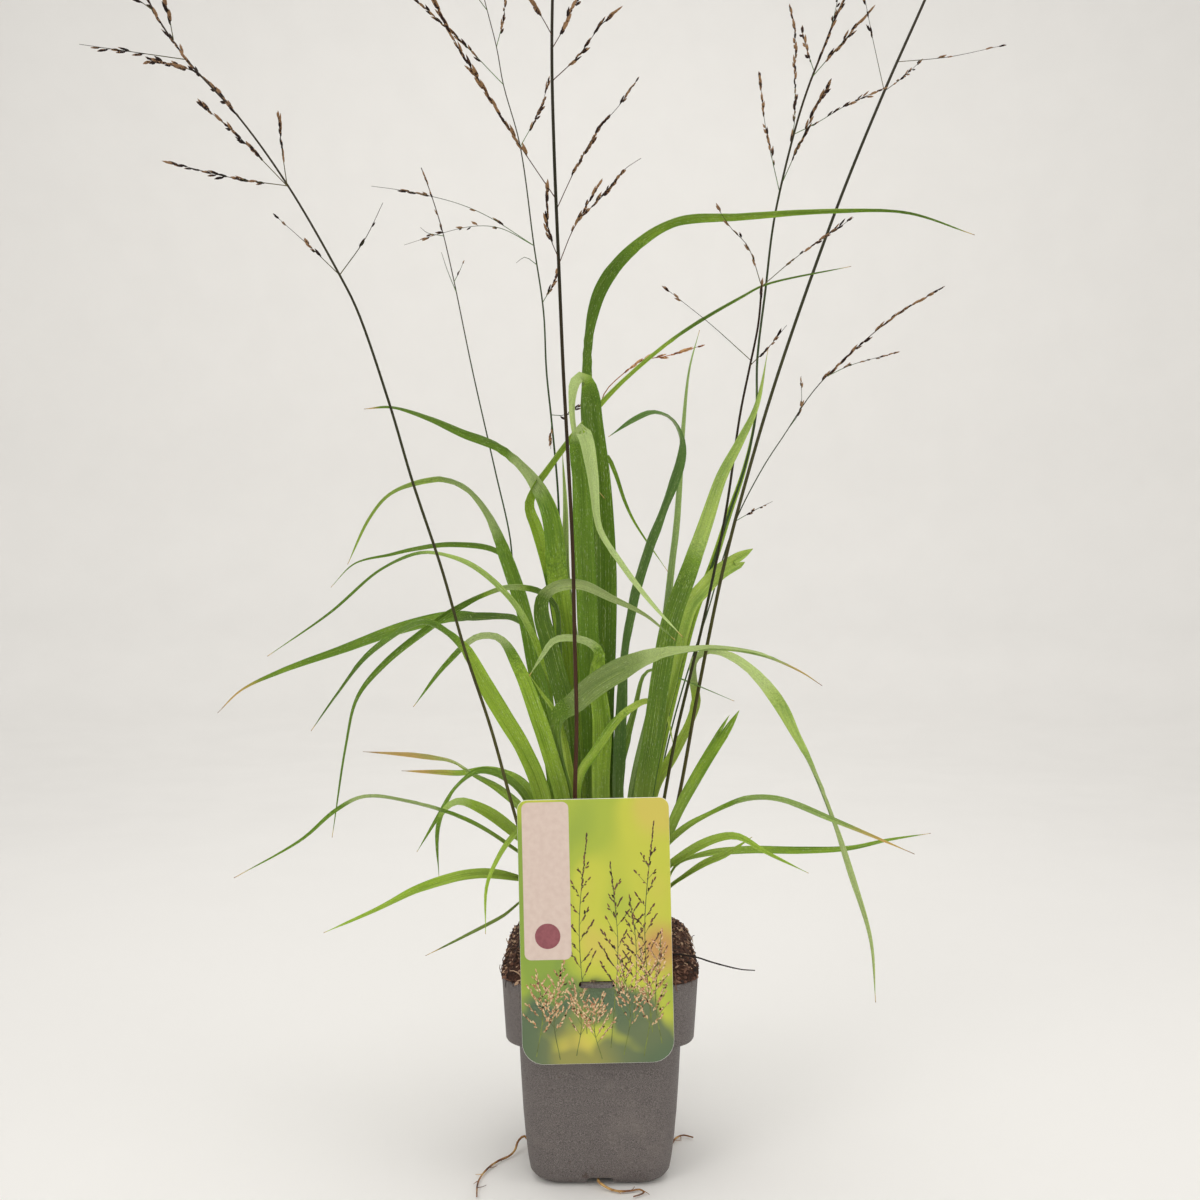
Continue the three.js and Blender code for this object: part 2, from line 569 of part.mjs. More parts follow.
// Flowering culms. A stem's points run from just above the foot to the tip of its panicle, and a
// branch's points run from the stem outwards.
const CULMS = [
  {
    name: 'culm_left_tall',
    foot: [-27, -35],
    colour: COLOUR.culm,
    seed: 11,
    headFrom: 0.8,
    stem: [[-47, -42, 207], [-60, -54, 259], [-73, -67, 303], [-84, -77, 346], [-98, -88, 392],
      [-108, -98, 430], [-124, -102, 478], [-133, -102, 496], [-159, -102, 541], [-184, -102, 576],
      [-211, -102, 606], [-228, -102, 631], [-238, -99, 654], [-244, -95, 672]],
    branches: [
      [[-133, -102, 496], [-117, -117, 510], [-106, -129, 524]],
      [[-133, -102, 496], [-152, -89, 515], [-170, -77, 532]],
      [[-159.3, -102, 541.5], [-180, -123, 538], [-202, -142, 538]],
      [[-159.7, -102.4, 541.4], [-186, -92, 569], [-213, -80, 594]],
      [[-159.7, -102.4, 541.4], [-160, -111, 556], [-159, -123, 570]],
      [[-184, -102, 576], [-195, -92, 590], [-204, -86, 600]],
      [[-196.8, -102, 590.2], [-210, -92, 604], [-242, -74, 619]],
      [[-211, -102, 606], [-232, -117, 603], [-253, -132, 600]],
      [[-217.9, -102, 616.1], [-217, -111, 624], [-217, -120, 632]],
      [[-228, -102, 631], [-234, -111, 633], [-242, -120, 634]],
      [[-232.8, -100.5, 642.1], [-233, -89, 663], [-233, -80, 682]],
      [[-238, -99, 654], [-249, -92, 666], [-263, -83, 676]],
    ],
  },
  {
    name: 'culm_left_thin',
    foot: [-16, 30],
    colour: COLOUR.greenCulm,
    seed: 12,
    headFrom: 0.9,
    stem: [[-34, 34, 268], [-53, 40, 336], [-57, 42, 371], [-66, 46, 410], [-83, 67, 479],
      [-100, 95, 552], [-108, 101, 584], [-116, 103, 609], [-122, 104, 625]],
    branches: [
      [[-96.4, 89.1, 536.5], [-101, 81, 548], [-104, 72, 558]],
      [[-98.1, 91.9, 544], [-96, 104, 554], [-94, 115, 565]],
      [[-106.3, 99.7, 577.2], [-115, 86, 575], [-118, 74, 575]],
    ],
  },
  {
    name: 'culm_middle_green',
    foot: [-6, 33],
    colour: COLOUR.greenCulm,
    seed: 13,
    headFrom: 0.94,
    stem: [[-17, 30, 268], [-24, 28, 336], [-26, 26, 397], [-30, 24, 442], [-33, 25, 471],
      [-35, 28, 509], [-41, 30, 550], [-50, 32, 614], [-60, 30, 650], [-64, 27, 672],
      [-71, 23, 699], [-77, 19, 725], [-81, 17, 748]],
    branches: [
      [[-60, 30, 650], [-84, 11, 668], [-109, -6, 685], [-118, -12, 692]],
      [[-64, 27, 672], [-61, 38, 693], [-59, 49, 721]],
      [[-69.5, 23.9, 693.1], [-76, 11, 697], [-82, 0, 701]],
      [[-49.7, 31.9, 612], [-38, 48, 642], [-33, 57, 664]],
      [[-41, 30, 550], [-68, 14, 563], [-87, 0, 567], [-116, -15, 569], [-132, -22, 569]],
      [[-41, 30, 550], [-63, 47, 566], [-82, 62, 572], [-107, 76, 571], [-129, 76, 564]],
      [[-39.2, 29.4, 537.9], [-46, 20, 540], [-51, 15, 535]],
      [[-35.7, 28.2, 513.9], [-29, 38, 529], [-28, 42, 535]],
      [[-30.2, 24, 444], [-22, 31, 445], [-15, 37, 450]],
      [[-29.8, 24, 440], [-30, 20, 431], [-30, 16, 422]],
      [[-75.6, 19.9, 719.1], [-87, 4, 727], [-95, -6, 739]],
      [[-77.9, 18.6, 730], [-72, 30, 755], [-69, 38, 777]],
    ],
  },
  {
    name: 'culm_middle_dark',
    foot: [-14, -39],
    colour: COLOUR.brownCulm,
    seed: 14,
    headFrom: 0.9,
    stem: [[-14, -45, 220], [-13, -49, 262], [-14, -53, 308], [-15, -56, 357], [-18, -58, 417],
      [-20, -62, 455], [-22, -75, 509], [-24, -88, 565], [-25, -92, 615], [-24, -91, 668],
      [-22, -89, 721], [-21, -86, 770], [-20, -85, 803]],
    branches: [
      [[-24.8, -91.8, 623], [-30, -105, 627], [-37, -117, 632], [-46, -126, 641]],
      [[-25, -92, 616], [-19, -80, 633], [-16, -71, 646], [-9, -62, 660]],
      [[-24.7, -90.8, 600.1], [-11, -102, 608], [1, -111, 620], [6, -114, 623]],
      [[-23.1, -82.5, 541.2], [-42, -101, 564], [-56, -117, 582], [-68, -129, 598], [-80, -142, 617]],
      [[-23, -81.3, 536.2], [-12, -75, 562], [-1, -69, 583], [11, -64, 599], [19, -58, 613]],
      [[-22, -75, 509], [-12, -94, 525], [1, -108, 534], [12, -124, 542], [20, -131, 545]],
      [[-22.1, -75.7, 512.1], [-27, -87, 523], [-27, -100, 537]],
      [[-12, -75, 562], [-9, -88, 562], [-5, -97, 564]],
      [[-12, -94, 525], [-7, -88, 536], [-2, -84, 546]],
      [[-23.8, -90.8, 673], [-11, -80, 701], [2, -71, 732]],
      [[-23.8, -90.8, 673], [-37, -102, 688], [-51, -111, 708]],
      [[-22.4, -89.4, 711], [-13, -99, 727], [-6, -108, 742]],
      [[-22.4, -89.4, 711], [-32, -80, 737], [-40, -71, 765]],
      [[-21.4, -87.3, 748], [-16, -80, 773], [-11, -74, 797]],
      [[-21.4, -87.3, 748], [-27, -95, 764], [-30, -102, 779]],
    ],
  },
  {
    name: 'culm_right_tall',
    foot: [30, 10],
    colour: COLOUR.culm,
    seed: 15,
    headFrom: 0.9,
    stem: [[47, 12, 207], [60, 15, 276], [76, 21, 351], [91, 28, 406], [114, 49, 476],
      [156, 72, 589], [190, 87, 670], [221, 103, 738], [251, 118, 806], [274, 129, 862], [292, 137, 909]],
    branches: [
      [[190, 87, 670], [180, 76, 699], [171, 65, 727]],
      [[190, 87, 670], [206, 99, 685], [220, 110, 700]],
      [[200, 92.2, 692], [230, 76, 688], [260, 65, 690]],
      [[221, 103, 738], [219, 118, 781], [211, 129, 823]],
      [[221, 103, 738], [240, 87, 752], [262, 72, 764]],
      [[239, 112, 779], [272, 122, 811], [307, 133, 839]],
      [[239, 112, 779], [229, 99, 809], [218, 87, 832]],
      [[258.5, 121.6, 824.3], [278, 108, 844], [298, 99, 866]],
      [[258.5, 121.6, 824.3], [258, 133, 867], [256, 144, 907]],
      [[275.2, 129.5, 865], [297, 141, 900], [320, 152, 934]],
      [[275.2, 129.5, 865], [269, 118, 888], [264, 110, 908]],
    ],
  },
  {
    name: 'culm_right_dark',
    foot: [25, 1],
    colour: COLOUR.culm,
    seed: 16,
    headFrom: 0.97,
    stem: [[38, 3, 209], [45, 3, 247], [54, 3, 285], [62, 3, 318], [75, 3, 381], [84, 3, 442],
      [89, -3, 469], [93, -10, 492], [94, -18, 513]],
    branches: [
      [[89.5, -3.9, 471.9], [64, -16, 491], [41, -27, 506]],
      [[89, -3, 469], [99, -19, 478], [106, -34, 486]],
      [[94, -17.7, 512.1], [84, -33, 531], [74, -42, 538], [65, -51, 547]],
      [[94, -17.8, 512.2], [116, -9, 532], [151, 0, 558]],
    ],
  },
  {
    name: 'culm_right_green',
    foot: [21, 20],
    colour: COLOUR.greenCulm,
    seed: 17,
    headFrom: 0.86,
    blades: [
      { width: 5.6, path: [[36, 23, 232, 10], [47, 26, 279, 20], [58, 29, 321, 10], [70, 32, 352, 0],
        [80, 35, 382, 0], [91, 38, 414, 0], [97, 40, 442, 30], [99, 40, 473, 50]] },
    ],
    stem: [[36, 23, 232], [47, 26, 279], [58, 29, 321], [70, 32, 352], [80, 35, 382], [91, 38, 414],
      [98, 40, 446], [99, 40, 482], [103, 33, 522], [108, 27, 567], [120, 15, 621], [127, 10, 643],
      [133, 8, 658], [142, 4, 681], [148, 0, 693], [156, -3, 721]],
    branches: [
      [[110.9, 24.1, 579.8], [104, 38, 626], [102, 49, 660]],
      [[112.6, 22.4, 587.7], [122, 38, 630], [124, 49, 664], [126, 61, 697], [124, 65, 713]],
      [[112.7, 22.5, 588], [119, 0, 602], [127, -15, 619], [130, -25, 624]],
      [[118.4, 16.6, 614], [134, 27, 625], [156, 34, 640], [178, 38, 651]],
      [[128.2, 9.6, 645.9], [141, -6, 657], [154, -18, 669]],
      [[129.3, 9.2, 648.8], [127, 23, 669], [126, 34, 685]],
      [[137.7, 5.9, 670.1], [143, 15, 688], [148, 23, 708]],
      [[147.2, 0.6, 691.3], [156, -12, 705], [165, -22, 715]],
      [[147.3, 0.4, 691.5], [144, 15, 721], [143, 27, 746]],
    ],
  },
  {
    name: 'culm_right_thin',
    foot: [24, 33],
    colour: COLOUR.greenCulm,
    seed: 18,
    headFrom: 0.8,
    stem: [[40, 34, 230], [53, 36, 279], [68, 38, 324], [78, 41, 358], [87, 43, 383], [104, 47, 415],
      [118, 51, 436], [136, 52, 463], [154, 46, 482], [184, 34, 507], [208, 27, 521]],
    branches: [
      [[85.9, 42.8, 380], [100, 53, 388], [112, 64, 394]],
      [[119.2, 51.1, 437.8], [130, 63, 454], [132, 73, 477]],
      [[145.2, 48.9, 472.8], [164, 65, 483], [193, 80, 493]],
    ],
  },
  {
    name: 'culm_short_orange',
    foot: [4, 29],
    colour: COLOUR.orangeCulm,
    seed: 19,
    headFrom: 0.83,
    stem: [[2, 29, 268], [1, 30, 355], [-1, 30, 429], [2, 31, 457], [14, 35, 471], [28, 38, 481],
      [39, 41, 483], [61, 50, 491]],
    branches: [],
  },
];

const ROOT_RADIUS = [0.75, 0.55];
const ROOT_STEP = 6;
const ROOTS = [
  { name: 'root_left', path: [[-36.3, 3, 2.5], [-41.5, 6, 3.2], [-45.5, 8, 7], [-49, 5, 5.5],
    [-50.8, 0, 2], [-54, -5, 0.9], [-59, -10, 0.9], [-64, -18, 0.9], [-68, -30, 0.9],
    [-69, -40, 0.9], [-68, -53, 0.9]] },
  { name: 'root_front', path: [[-1, -36.3, 2.5], [-0.5, -41.5, 3.2], [2.8, -43.5, 1.9], [6, -45, 0.9],
    [11, -47, 0.9], [17, -46.5, 0.9], [22, -45, 0.9], [24.5, -48, 0.9], [22, -51, 0.9],
    [18.5, -53, 0.9]] },
  { name: 'root_right', path: [[36.3, 3, 2.5], [42, 8, 1.3], [46.5, 19, 0.9], [51, 23, 0.9],
    [57, 20, 0.9]] },
];
const STALK = { radii: [0.6, 0.45], step: 8, path: [[38, -33, 127.5], [44, -35, 129.2], [55, -35.5, 127.6],
  [64, -35, 124.6], [80, -34, 120.4], [88, -34, 119.8]] };

function buildPeat(feet) {
  const random = seeded(7);
  const walls = movedIn(POT_OUTSIDE, POT_WALL + PEAT_GAP).slice(0, -1);
  const rings = walls.map(([z, half, radius]) => roundedSquare(z, half, radius, CORNER_STEPS));
  PEAT_TOP.forEach(([height, half, radius], level) => {
    const ring = roundedSquare(height, half, radius, CORNER_STEPS);
    const lump = level === 0 ? 0 : PEAT_LUMP;
    for (const point of ring) {
      const pull = 1 - lump * random() / half;
      point.x *= pull;
      point.y *= pull;
      point.z += point.y * PEAT_BACK_RISE * Math.min(1, level / 2) + lump * (random() - 0.5);
    }
    rings.push(ring);
  });
  let peat = solid(skin(rings));

  const depth = SHEATH_TOP - FOOT_HEIGHT;
  for (const { foot, radius } of feet) {
    const across = (radius + HOLE_GAP) / Math.cos(Math.PI / HOLE_SIDES);
    const hole = new THREE.CylinderGeometry(across, across, depth, HOLE_SIDES);
    hole.rotateX(Math.PI / 2);
    hole.translate(foot[0], foot[1], FOOT_HEIGHT - HOLE_GAP + depth / 2);
    peat = peat.subtract(solid(hole));
  }

  const stalk = smooth(STALK.path, STALK.step);
  const before = stalk[0].clone().sub(stalk[1]).setLength(3 * HOLE_GAP).add(stalk[0]);
  const furrow = STALK.radii.map((radius) => radius + 1.5 * HOLE_GAP);
  peat = peat.subtract(rod([before, ...stalk], furrow, 5));
  return named('peat', fuse([peat]), COLOUR.peat, 0.95);
}

const group = new THREE.Group();
group.add(buildPot());
group.add(buildLabel());
const tuftFeet = TUFTS.map(({ foot }) => ({ foot, radius: SHEATH_RADIUS }));
const culmFeet = CULMS.map(({ foot }) => ({ foot, radius: CULM_FOOT_RADIUS }));
group.add(buildPeat([...tuftFeet, ...culmFeet]));
for (const tuft of TUFTS) group.add(buildTuft(tuft));
for (const culm of CULMS) group.add(buildCulm(culm));
for (const { name, path } of ROOTS) {
  group.add(named(name, rod(smooth(path, ROOT_STEP), ROOT_RADIUS, 5), COLOUR.root, 0.8));
}
const stalkPoints = smooth(STALK.path, STALK.step);
group.add(named('dry_stalk', rod(stalkPoints, STALK.radii, 5), COLOUR.straw, 0.8));

export default group;
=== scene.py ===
import math
import random

import bmesh
import bpy
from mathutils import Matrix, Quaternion, Vector, noise


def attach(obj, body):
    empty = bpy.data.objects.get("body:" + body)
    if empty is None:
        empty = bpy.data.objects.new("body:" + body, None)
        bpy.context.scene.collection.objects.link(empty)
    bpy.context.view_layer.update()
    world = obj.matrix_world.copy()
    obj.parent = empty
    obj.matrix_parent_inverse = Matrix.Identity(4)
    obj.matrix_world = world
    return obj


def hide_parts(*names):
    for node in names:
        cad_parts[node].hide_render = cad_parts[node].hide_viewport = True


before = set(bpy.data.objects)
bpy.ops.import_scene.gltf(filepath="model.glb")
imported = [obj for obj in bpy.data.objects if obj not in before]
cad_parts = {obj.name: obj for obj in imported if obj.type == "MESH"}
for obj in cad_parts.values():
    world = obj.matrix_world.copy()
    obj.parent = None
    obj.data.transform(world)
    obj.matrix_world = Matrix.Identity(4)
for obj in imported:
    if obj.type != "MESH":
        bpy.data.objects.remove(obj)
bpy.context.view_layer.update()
scene = bpy.context.scene


# Camera: stands about 0.7 m in front of the pot at 33 cm, level, so that the soil is seen from above and the
# tall culms leave the picture. It is made first because every later section was judged from here.
camera_data = bpy.data.cameras.new("camera")
camera_data.lens = 36
camera_data.sensor_width = 36
camera_data.dof.use_dof = False
camera = bpy.data.objects.new("camera", camera_data)
camera.location = (0, -0.715, 0.330)
camera.rotation_euler = (math.radians(90), 0, 0)
scene.collection.objects.link(camera)
scene.camera = camera
scene.view_settings.view_transform = "Standard"


# Nursery pot: a square one-litre pot, thin polypropylene blown into a mould, with a wide stepped-out collar,
# rounded corners and a drain notch in the foot of each side. It stands on its flat base.
MM = 0.001
POT_LEVELS = [
    (0, 33.2, 12.6), (0.2, 34.8, 13.2), (0.8, 36.3, 14.2), (2.2, 38.2, 15.2), (5, 40, 16), (12, 41.2, 16.5),
    (25, 42.7, 17), (40, 44, 17.5), (60, 45.2, 17.8), (80.3, 46.2, 18), (81.2, 46.5, 18.1),
    (81.6, 47.2, 18.2), (81.9, 51.6, 18.8), (82.4, 52.7, 18.9), (83.4, 53.2, 19), (100, 54.3, 19.5),
    (116.4, 55.3, 20), (117.4, 55.3, 20), (117.9, 55, 19.7), (118, 54.6, 19.3), (117.8, 54.1, 18.8),
    (117, 53.9, 18.6), (84.8, 51.8, 17.6), (84, 50.6, 17), (83.6, 45.4, 16.5), (80, 44.7, 16.4),
    (40, 42.4, 16), (12, 39.6, 15), (5.6, 38.4, 14.4), (3.4, 36.4, 13.4), (2.2, 34, 12.4),
    (1.6, 32, 11.6),
]
POT_CORNER_STEPS = 12
DRAIN_NOTCH = {"low half": 8.6, "high half": 7.2, "height": 5, "inner": 28, "outer": 48}
NOTCH_EDGE = 1.3
LUG = {"centre x": -1.7, "width": 17, "height": 2.4, "root": 54.5, "tip": 58.7, "z": 118.9, "edge": 0.5}


def linear(code):
    """An sRGB hex colour as linear red, green, blue and alpha."""
    parts = [int(code[i:i + 2], 16) / 255 for i in (1, 3, 5)]
    return [p / 12.92 if p <= 0.04045 else ((p + 0.055) / 1.055) ** 2.4 for p in parts] + [1.0]


def feed(node, inputs):
    """Gives a node's inputs, by number or name, their values or the sockets that feed them."""
    for key, value in inputs.items():
        feeders = value if isinstance(value, list) else [value]
        if isinstance(feeders[0], bpy.types.NodeSocket):
            for feeder in feeders:
                node.id_data.links.new(feeder, node.inputs[key])
        else:
            node.inputs[key].default_value = value


def add(tree, kind, *inputs, out=0, **named):
    """Adds a node and gives back its output. The kind may end in the node's operation. Inputs come in order,
    or as a dict by number, or by name with _ for a space; a name in small letters is a setting."""
    kind, _, operation = kind.partition(" ")
    node = tree.nodes.new(kind if "Node" in kind else "ShaderNode" + kind)
    if operation:
        node.operation = operation
    for name, value in named.items():
        if name.islower():
            setattr(node, name, value)
    by_number = inputs[0] if inputs and isinstance(inputs[0], dict) else dict(enumerate(inputs))
    feed(node, by_number)
    feed(node, {name.replace("_", " "): value for name, value in named.items() if not name.islower()})
    return node.outputs[out] if node.outputs else None


def ramp(tree, factor, stops, interpolation="LINEAR"):
    """A colour ramp through (place, hex colour) stops."""
    node = add(tree, "ValToRGB", factor).node
    node.color_ramp.interpolation = interpolation
    while len(node.color_ramp.elements) < len(stops):
        node.color_ramp.elements.new(0.5)
    for element, (place, code) in zip(node.color_ramp.elements, stops):
        element.position = place
        element.color = linear(code)
    return node.outputs["Color"]


def finish_of(name):
    """A new material with its node tree and its main shader."""
    material = bpy.data.materials.new(name)
    material.use_nodes = True
    return material, material.node_tree, material.node_tree.nodes["Principled BSDF"]


def rounded_square(height, half, radius, steps):
    """One level of a square with round corners, as points in metres."""
    ring = []
    for corner, (side_x, side_y) in enumerate([(1, 1), (-1, 1), (-1, -1), (1, -1)]):
        for i in range(steps + 1):
            angle = (corner + i / steps) * math.pi / 2
            x = side_x * (half - radius) + radius * math.cos(angle)
            y = side_y * (half - radius) + radius * math.sin(angle)
            ring.append(Vector((x * MM, y * MM, height * MM)))
    return ring


def skinned(name, rings):
    """A closed mesh through rings of points, capped at both ends, as an object at the origin."""
    count = len(rings[0])
    faces = [list(range(count)), [len(rings) * count - 1 - j for j in range(count)]]
    for i in range(len(rings) - 1):
        for j in range(count):
            near, far = i * count + j, i * count + (j + 1) % count
            faces.append([near, near + count, far + count, far])
    mesh = bpy.data.meshes.new(name)
    mesh.from_pydata([point for ring in rings for point in ring], [], faces)
    made = bpy.data.objects.new(name, mesh)
    scene.collection.objects.link(made)
    outward(mesh)
    return made


def outward(mesh, sharp=35):
    """Turns every face outwards and shades smooth but for edges over the sharp angle."""
    work = bmesh.new()
    work.from_mesh(mesh)
    bmesh.ops.recalc_face_normals(work, faces=work.faces)
    work.to_mesh(mesh)
    work.free()
    mesh.shade_smooth()
    mesh.set_sharp_from_angle(angle=math.radians(sharp))


def cut_or_joined(piece, others, how):
    """The piece with the other solids cut out of it or joined to it; the others are used up."""
    for other in others:
        step = piece.modifiers.new("work", "BOOLEAN")
        step.operation = how
        step.solver = "EXACT"
        step.object = other
    depsgraph = bpy.context.evaluated_depsgraph_get()
    result = bpy.data.meshes.new_from_object(piece.evaluated_get(depsgraph), depsgraph=depsgraph)
    piece.modifiers.clear()
    piece.data = result
    for other in others:
        bpy.data.objects.remove(other)
    outward(result)


pot = skinned("pot_shell", [rounded_square(*level, POT_CORNER_STEPS) for level in POT_LEVELS])
notches = []
for side in range(4):
    half_low, half_high = DRAIN_NOTCH["low half"], DRAIN_NOTCH["high half"]
    high, edge = DRAIN_NOTCH["height"], NOTCH_EDGE
    arch = [(-half_low, -2), (half_low, -2), (half_high, high - edge), (half_high - edge, high),
            (edge - half_high, high), (-half_high, high - edge)]
    turn = side * math.pi / 2
    rings = []
    for reach in (DRAIN_NOTCH["inner"], DRAIN_NOTCH["outer"]):
        rings.append([Vector((reach * math.cos(turn) - y * math.sin(turn),
                              reach * math.sin(turn) + y * math.cos(turn), z)) * MM for y, z in arch])
    notches.append(skinned(f"notch_{side}", rings))
cut_or_joined(pot, notches, "DIFFERENCE")
lug_rings = []
for y, inset in ((-LUG["root"], 0), (-LUG["tip"], 0), (-LUG["tip"] - LUG["edge"], LUG["edge"])):
    x, z = LUG["width"] / 2 - inset, LUG["height"] / 2 - inset * 0.5
    lug_rings.append([Vector((LUG["centre x"] + a * x, y, LUG["z"] + b * z)) * MM
                      for a, b in ((-1, -1), (1, -1), (1, 1), (-1, 1))])
cut_or_joined(pot, [skinned("lug", lug_rings)], "UNION")

# Polypropylene, recycled and matt: a mid taupe grey with a fine sparkle of lighter and darker grains under a
# millimetre across, drawn a little coarser than real so that it shows, and a few dusty rubs and soil marks.
pot_plastic, tree, shader = finish_of("recycled polypropylene, matt grained")
place = add(tree, "TexCoord", out="Object")
grain = add(tree, "TexNoise", Vector=place, Scale=2300, Detail=3.0)
rub = add(tree, "TexNoise", Vector=place, Scale=26, Detail=5.0, Roughness=0.62)
grain_colour = ramp(tree, grain, [(0.34, "#454040"), (0.5, "#625B59"), (0.66, "#7E7774")])
rub_share = add(tree, "MapRange", rub, 0.54, 0.80, 0.0, 0.38)
dusty = add(tree, "Mix", {0: rub_share, 6: grain_colour, 7: linear("#948A84")}, out=2, data_type="RGBA")
height = add(tree, "SeparateXYZ", place, out="Z")
soiled = add(tree, "TexNoise", Vector=place, Scale=210, Detail=4.0, Roughness=0.7)
near_foot = add(tree, "MapRange", height, 0.0, 0.016, 0.13, 0.0)
near_rim = add(tree, "MapRange", height, 0.106, 0.118, 0.0, 0.16)
nearness = add(tree, "Math ADD", near_foot, near_rim)
smear = add(tree, "Math ADD", soiled, nearness)
smear = add(tree, "MapRange", smear, 0.66, 0.78, 0.0, 0.75)
marked = add(tree, "Mix", {0: smear, 6: dusty, 7: linear("#46362E")}, out=2, data_type="RGBA")
gloss = add(tree, "MapRange", rub, 0.3, 0.8, 0.52, 0.72)
relief = add(tree, "Bump", Height=grain, Strength=0.35, Distance=0.0003)
feed(shader, {"Base Color": marked, "Roughness": gloss, "Normal": relief})
pot.data.materials.clear()
pot.data.materials.append(pot_plastic)
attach(pot, "root")
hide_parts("pot")


# Peat: the root ball fills the pot and stands a little proud of the rim, highest at the back. It is dark
# brown milled peat with bark chips and straw-coloured fibres, crumbly on top, and loose crumbs lie out over
# the rim.
PEAT_LEVELS = [
    (1.8, 32.2, 11.2), (3.3, 35.7, 13.2), (6.8, 38.2, 14.2), (13.8, 39.4, 14.7), (41.8, 42.2, 15.7),
    (81, 44.4, 16.2), (84.9, 51.3, 17.2), (110, 52.9, 17.9), (117.6, 53.2, 18.2), (118.3, 53.8, 18.6),
    (118.5, 55.3, 19.6), (119.8, 55.9, 20), (122.5, 54.6, 19.6), (125.4, 51.6, 18.4), (128, 46.8, 16.6),
    (129.9, 41, 14.6), (131.2, 34, 12), (132.3, 25.6, 9.4), (133, 17, 7), (133.4, 9, 4.4),
    (133.6, 2, 1.6),
]
PEAT_STEP = 1.1
PEAT_CORNER_STEPS = 34
PEAT_SIDE_STEP = 9
PEAT_RIM, PEAT_SHOULDER, PEAT_TOP = 118.2, 119.5, 126
PEAT_BACK_RISE = 0.05
LUMP_HEIGHT, CRUMB_HEIGHT = 2.2, 1.5
LUMP_REACH, CRUMB_REACH = 0.8, 0.9


def grown(name, mesh, tree, values):
    """What a node tree makes of a mesh, as a plain object at the origin."""
    source = bpy.data.objects.new(name + "_source", mesh)
    scene.collection.objects.link(source)
    modifier = source.modifiers.new("grow", "NODES")
    modifier.node_group = tree
    for socket in tree.interface.items_tree:
        if socket.in_out == "INPUT" and socket.name in values:
            modifier[socket.identifier] = values[socket.name]
    depsgraph = bpy.context.evaluated_depsgraph_get()
    made = bpy.data.meshes.new_from_object(source.evaluated_get(depsgraph), depsgraph=depsgraph)
    bpy.data.objects.remove(source)
    piece = bpy.data.objects.new(name, made)
    scene.collection.objects.link(piece)
    outward(made)
    return piece


def new_rule(name, inputs):
    """A new geometry node group with a geometry input and output and the named inputs, and its input node."""
    group = bpy.data.node_groups.new(name, "GeometryNodeTree")
    group.interface.new_socket("Geometry", in_out="INPUT", socket_type="NodeSocketGeometry")
    group.interface.new_socket("Geometry", in_out="OUTPUT", socket_type="NodeSocketGeometry")
    for label, value in inputs.items():
        kind = {float: "NodeSocketFloat", int: "NodeSocketInt"}.get(type(value), "NodeSocketMaterial")
        socket = group.interface.new_socket(label, in_out="INPUT", socket_type=kind)
        if value is not None:
            socket.default_value = value
    return group, group.nodes.new("NodeGroupInput").outputs


peat_rings = []
for low, high in zip(PEAT_LEVELS, PEAT_LEVELS[1:]):
    length = math.dist(low[:2], high[:2])
    step = PEAT_SIDE_STEP if high[0] < 116 else PEAT_STEP
    count = max(1, round(length / step))
    for k in range(count):
        level = [a + (b - a) * k / count for a, b in zip(low, high)]
        peat_rings.append(rounded_square(*level, PEAT_CORNER_STEPS if low[0] else 4))
for ring in peat_rings:
    for point in ring:
        above = max(0, min(1, (point.z / MM - PEAT_RIM) / 4))
        lump = noise.fractal(point * 55, 1.0, 2.0, 3)
        crumb = noise.fractal(point * 260, 0.8, 2.0, 3)
        outwards = Vector((point.x, point.y, 0)).normalized()
        tilt = 1 if point.z / MM > PEAT_TOP else 0.45
        raised = max(0, min(1, (point.z / MM - PEAT_SHOULDER) / 7.5))
        rough = (LUMP_HEIGHT * lump + CRUMB_HEIGHT * crumb) * MM
        point.z += raised * point.y * PEAT_BACK_RISE + above * tilt * rough
        point += outwards * above * (LUMP_REACH * lump + CRUMB_REACH * crumb) * MM * (1.3 - tilt)

# Milled peat: nearly black in the gaps, red-brown on the lumps, with no shine at all. The near black is
# painted shade as well as the peat's own dark: it follows the fine noise that also raises the bump, so the
# pits are darkest.
peat_dark, tree, shader = finish_of("milled peat, damp")
place = add(tree, "TexCoord", out="Object")
fine = add(tree, "TexNoise", Vector=place, Scale=620, Detail=6.0, Roughness=0.7)
broad = add(tree, "TexNoise", Vector=place, Scale=95, Detail=3.0)
# Painted shade: the fine noise here also sets the bump, so the dark end of the ramp falls in its pits.
both = add(tree, "Mix", {0: 0.35, 2: fine, 3: broad})
colour = ramp(tree, both, [(0.33, "#1A120F"), (0.48, "#402B22"), (0.6, "#624538"), (0.75, "#876551")])
relief = add(tree, "Bump", Height=fine, Strength=0.9, Distance=0.0012)
feed(shader, {"Base Color": colour, "Normal": relief, "Roughness": 0.95, "Specular IOR Level": 0.2})

# Bark chips and fibres: each has its own brown, from wet bark to dry straw, from its random number.
peat_bits, tree, shader = finish_of("bark chips and straw fibres")
tone = add(tree, "Attribute", out="Fac", attribute_name="tone")
place = add(tree, "TexCoord", out="Object")
fine = add(tree, "TexNoise", Vector=place, Scale=900, Detail=3.0)
mixed = add(tree, "Math MULTIPLY_ADD", fine, 0.35, tone)
colour = ramp(tree, mixed, [(0.25, "#211612"), (0.55, "#513529"), (0.85, "#73503F"), (1.05, "#94705A"),
                            (1.2, "#BC9C80")])
relief = add(tree, "Bump", Height=fine, Strength=0.6, Distance=0.0004)
feed(shader, {"Base Color": colour, "Normal": relief, "Roughness": 0.88})

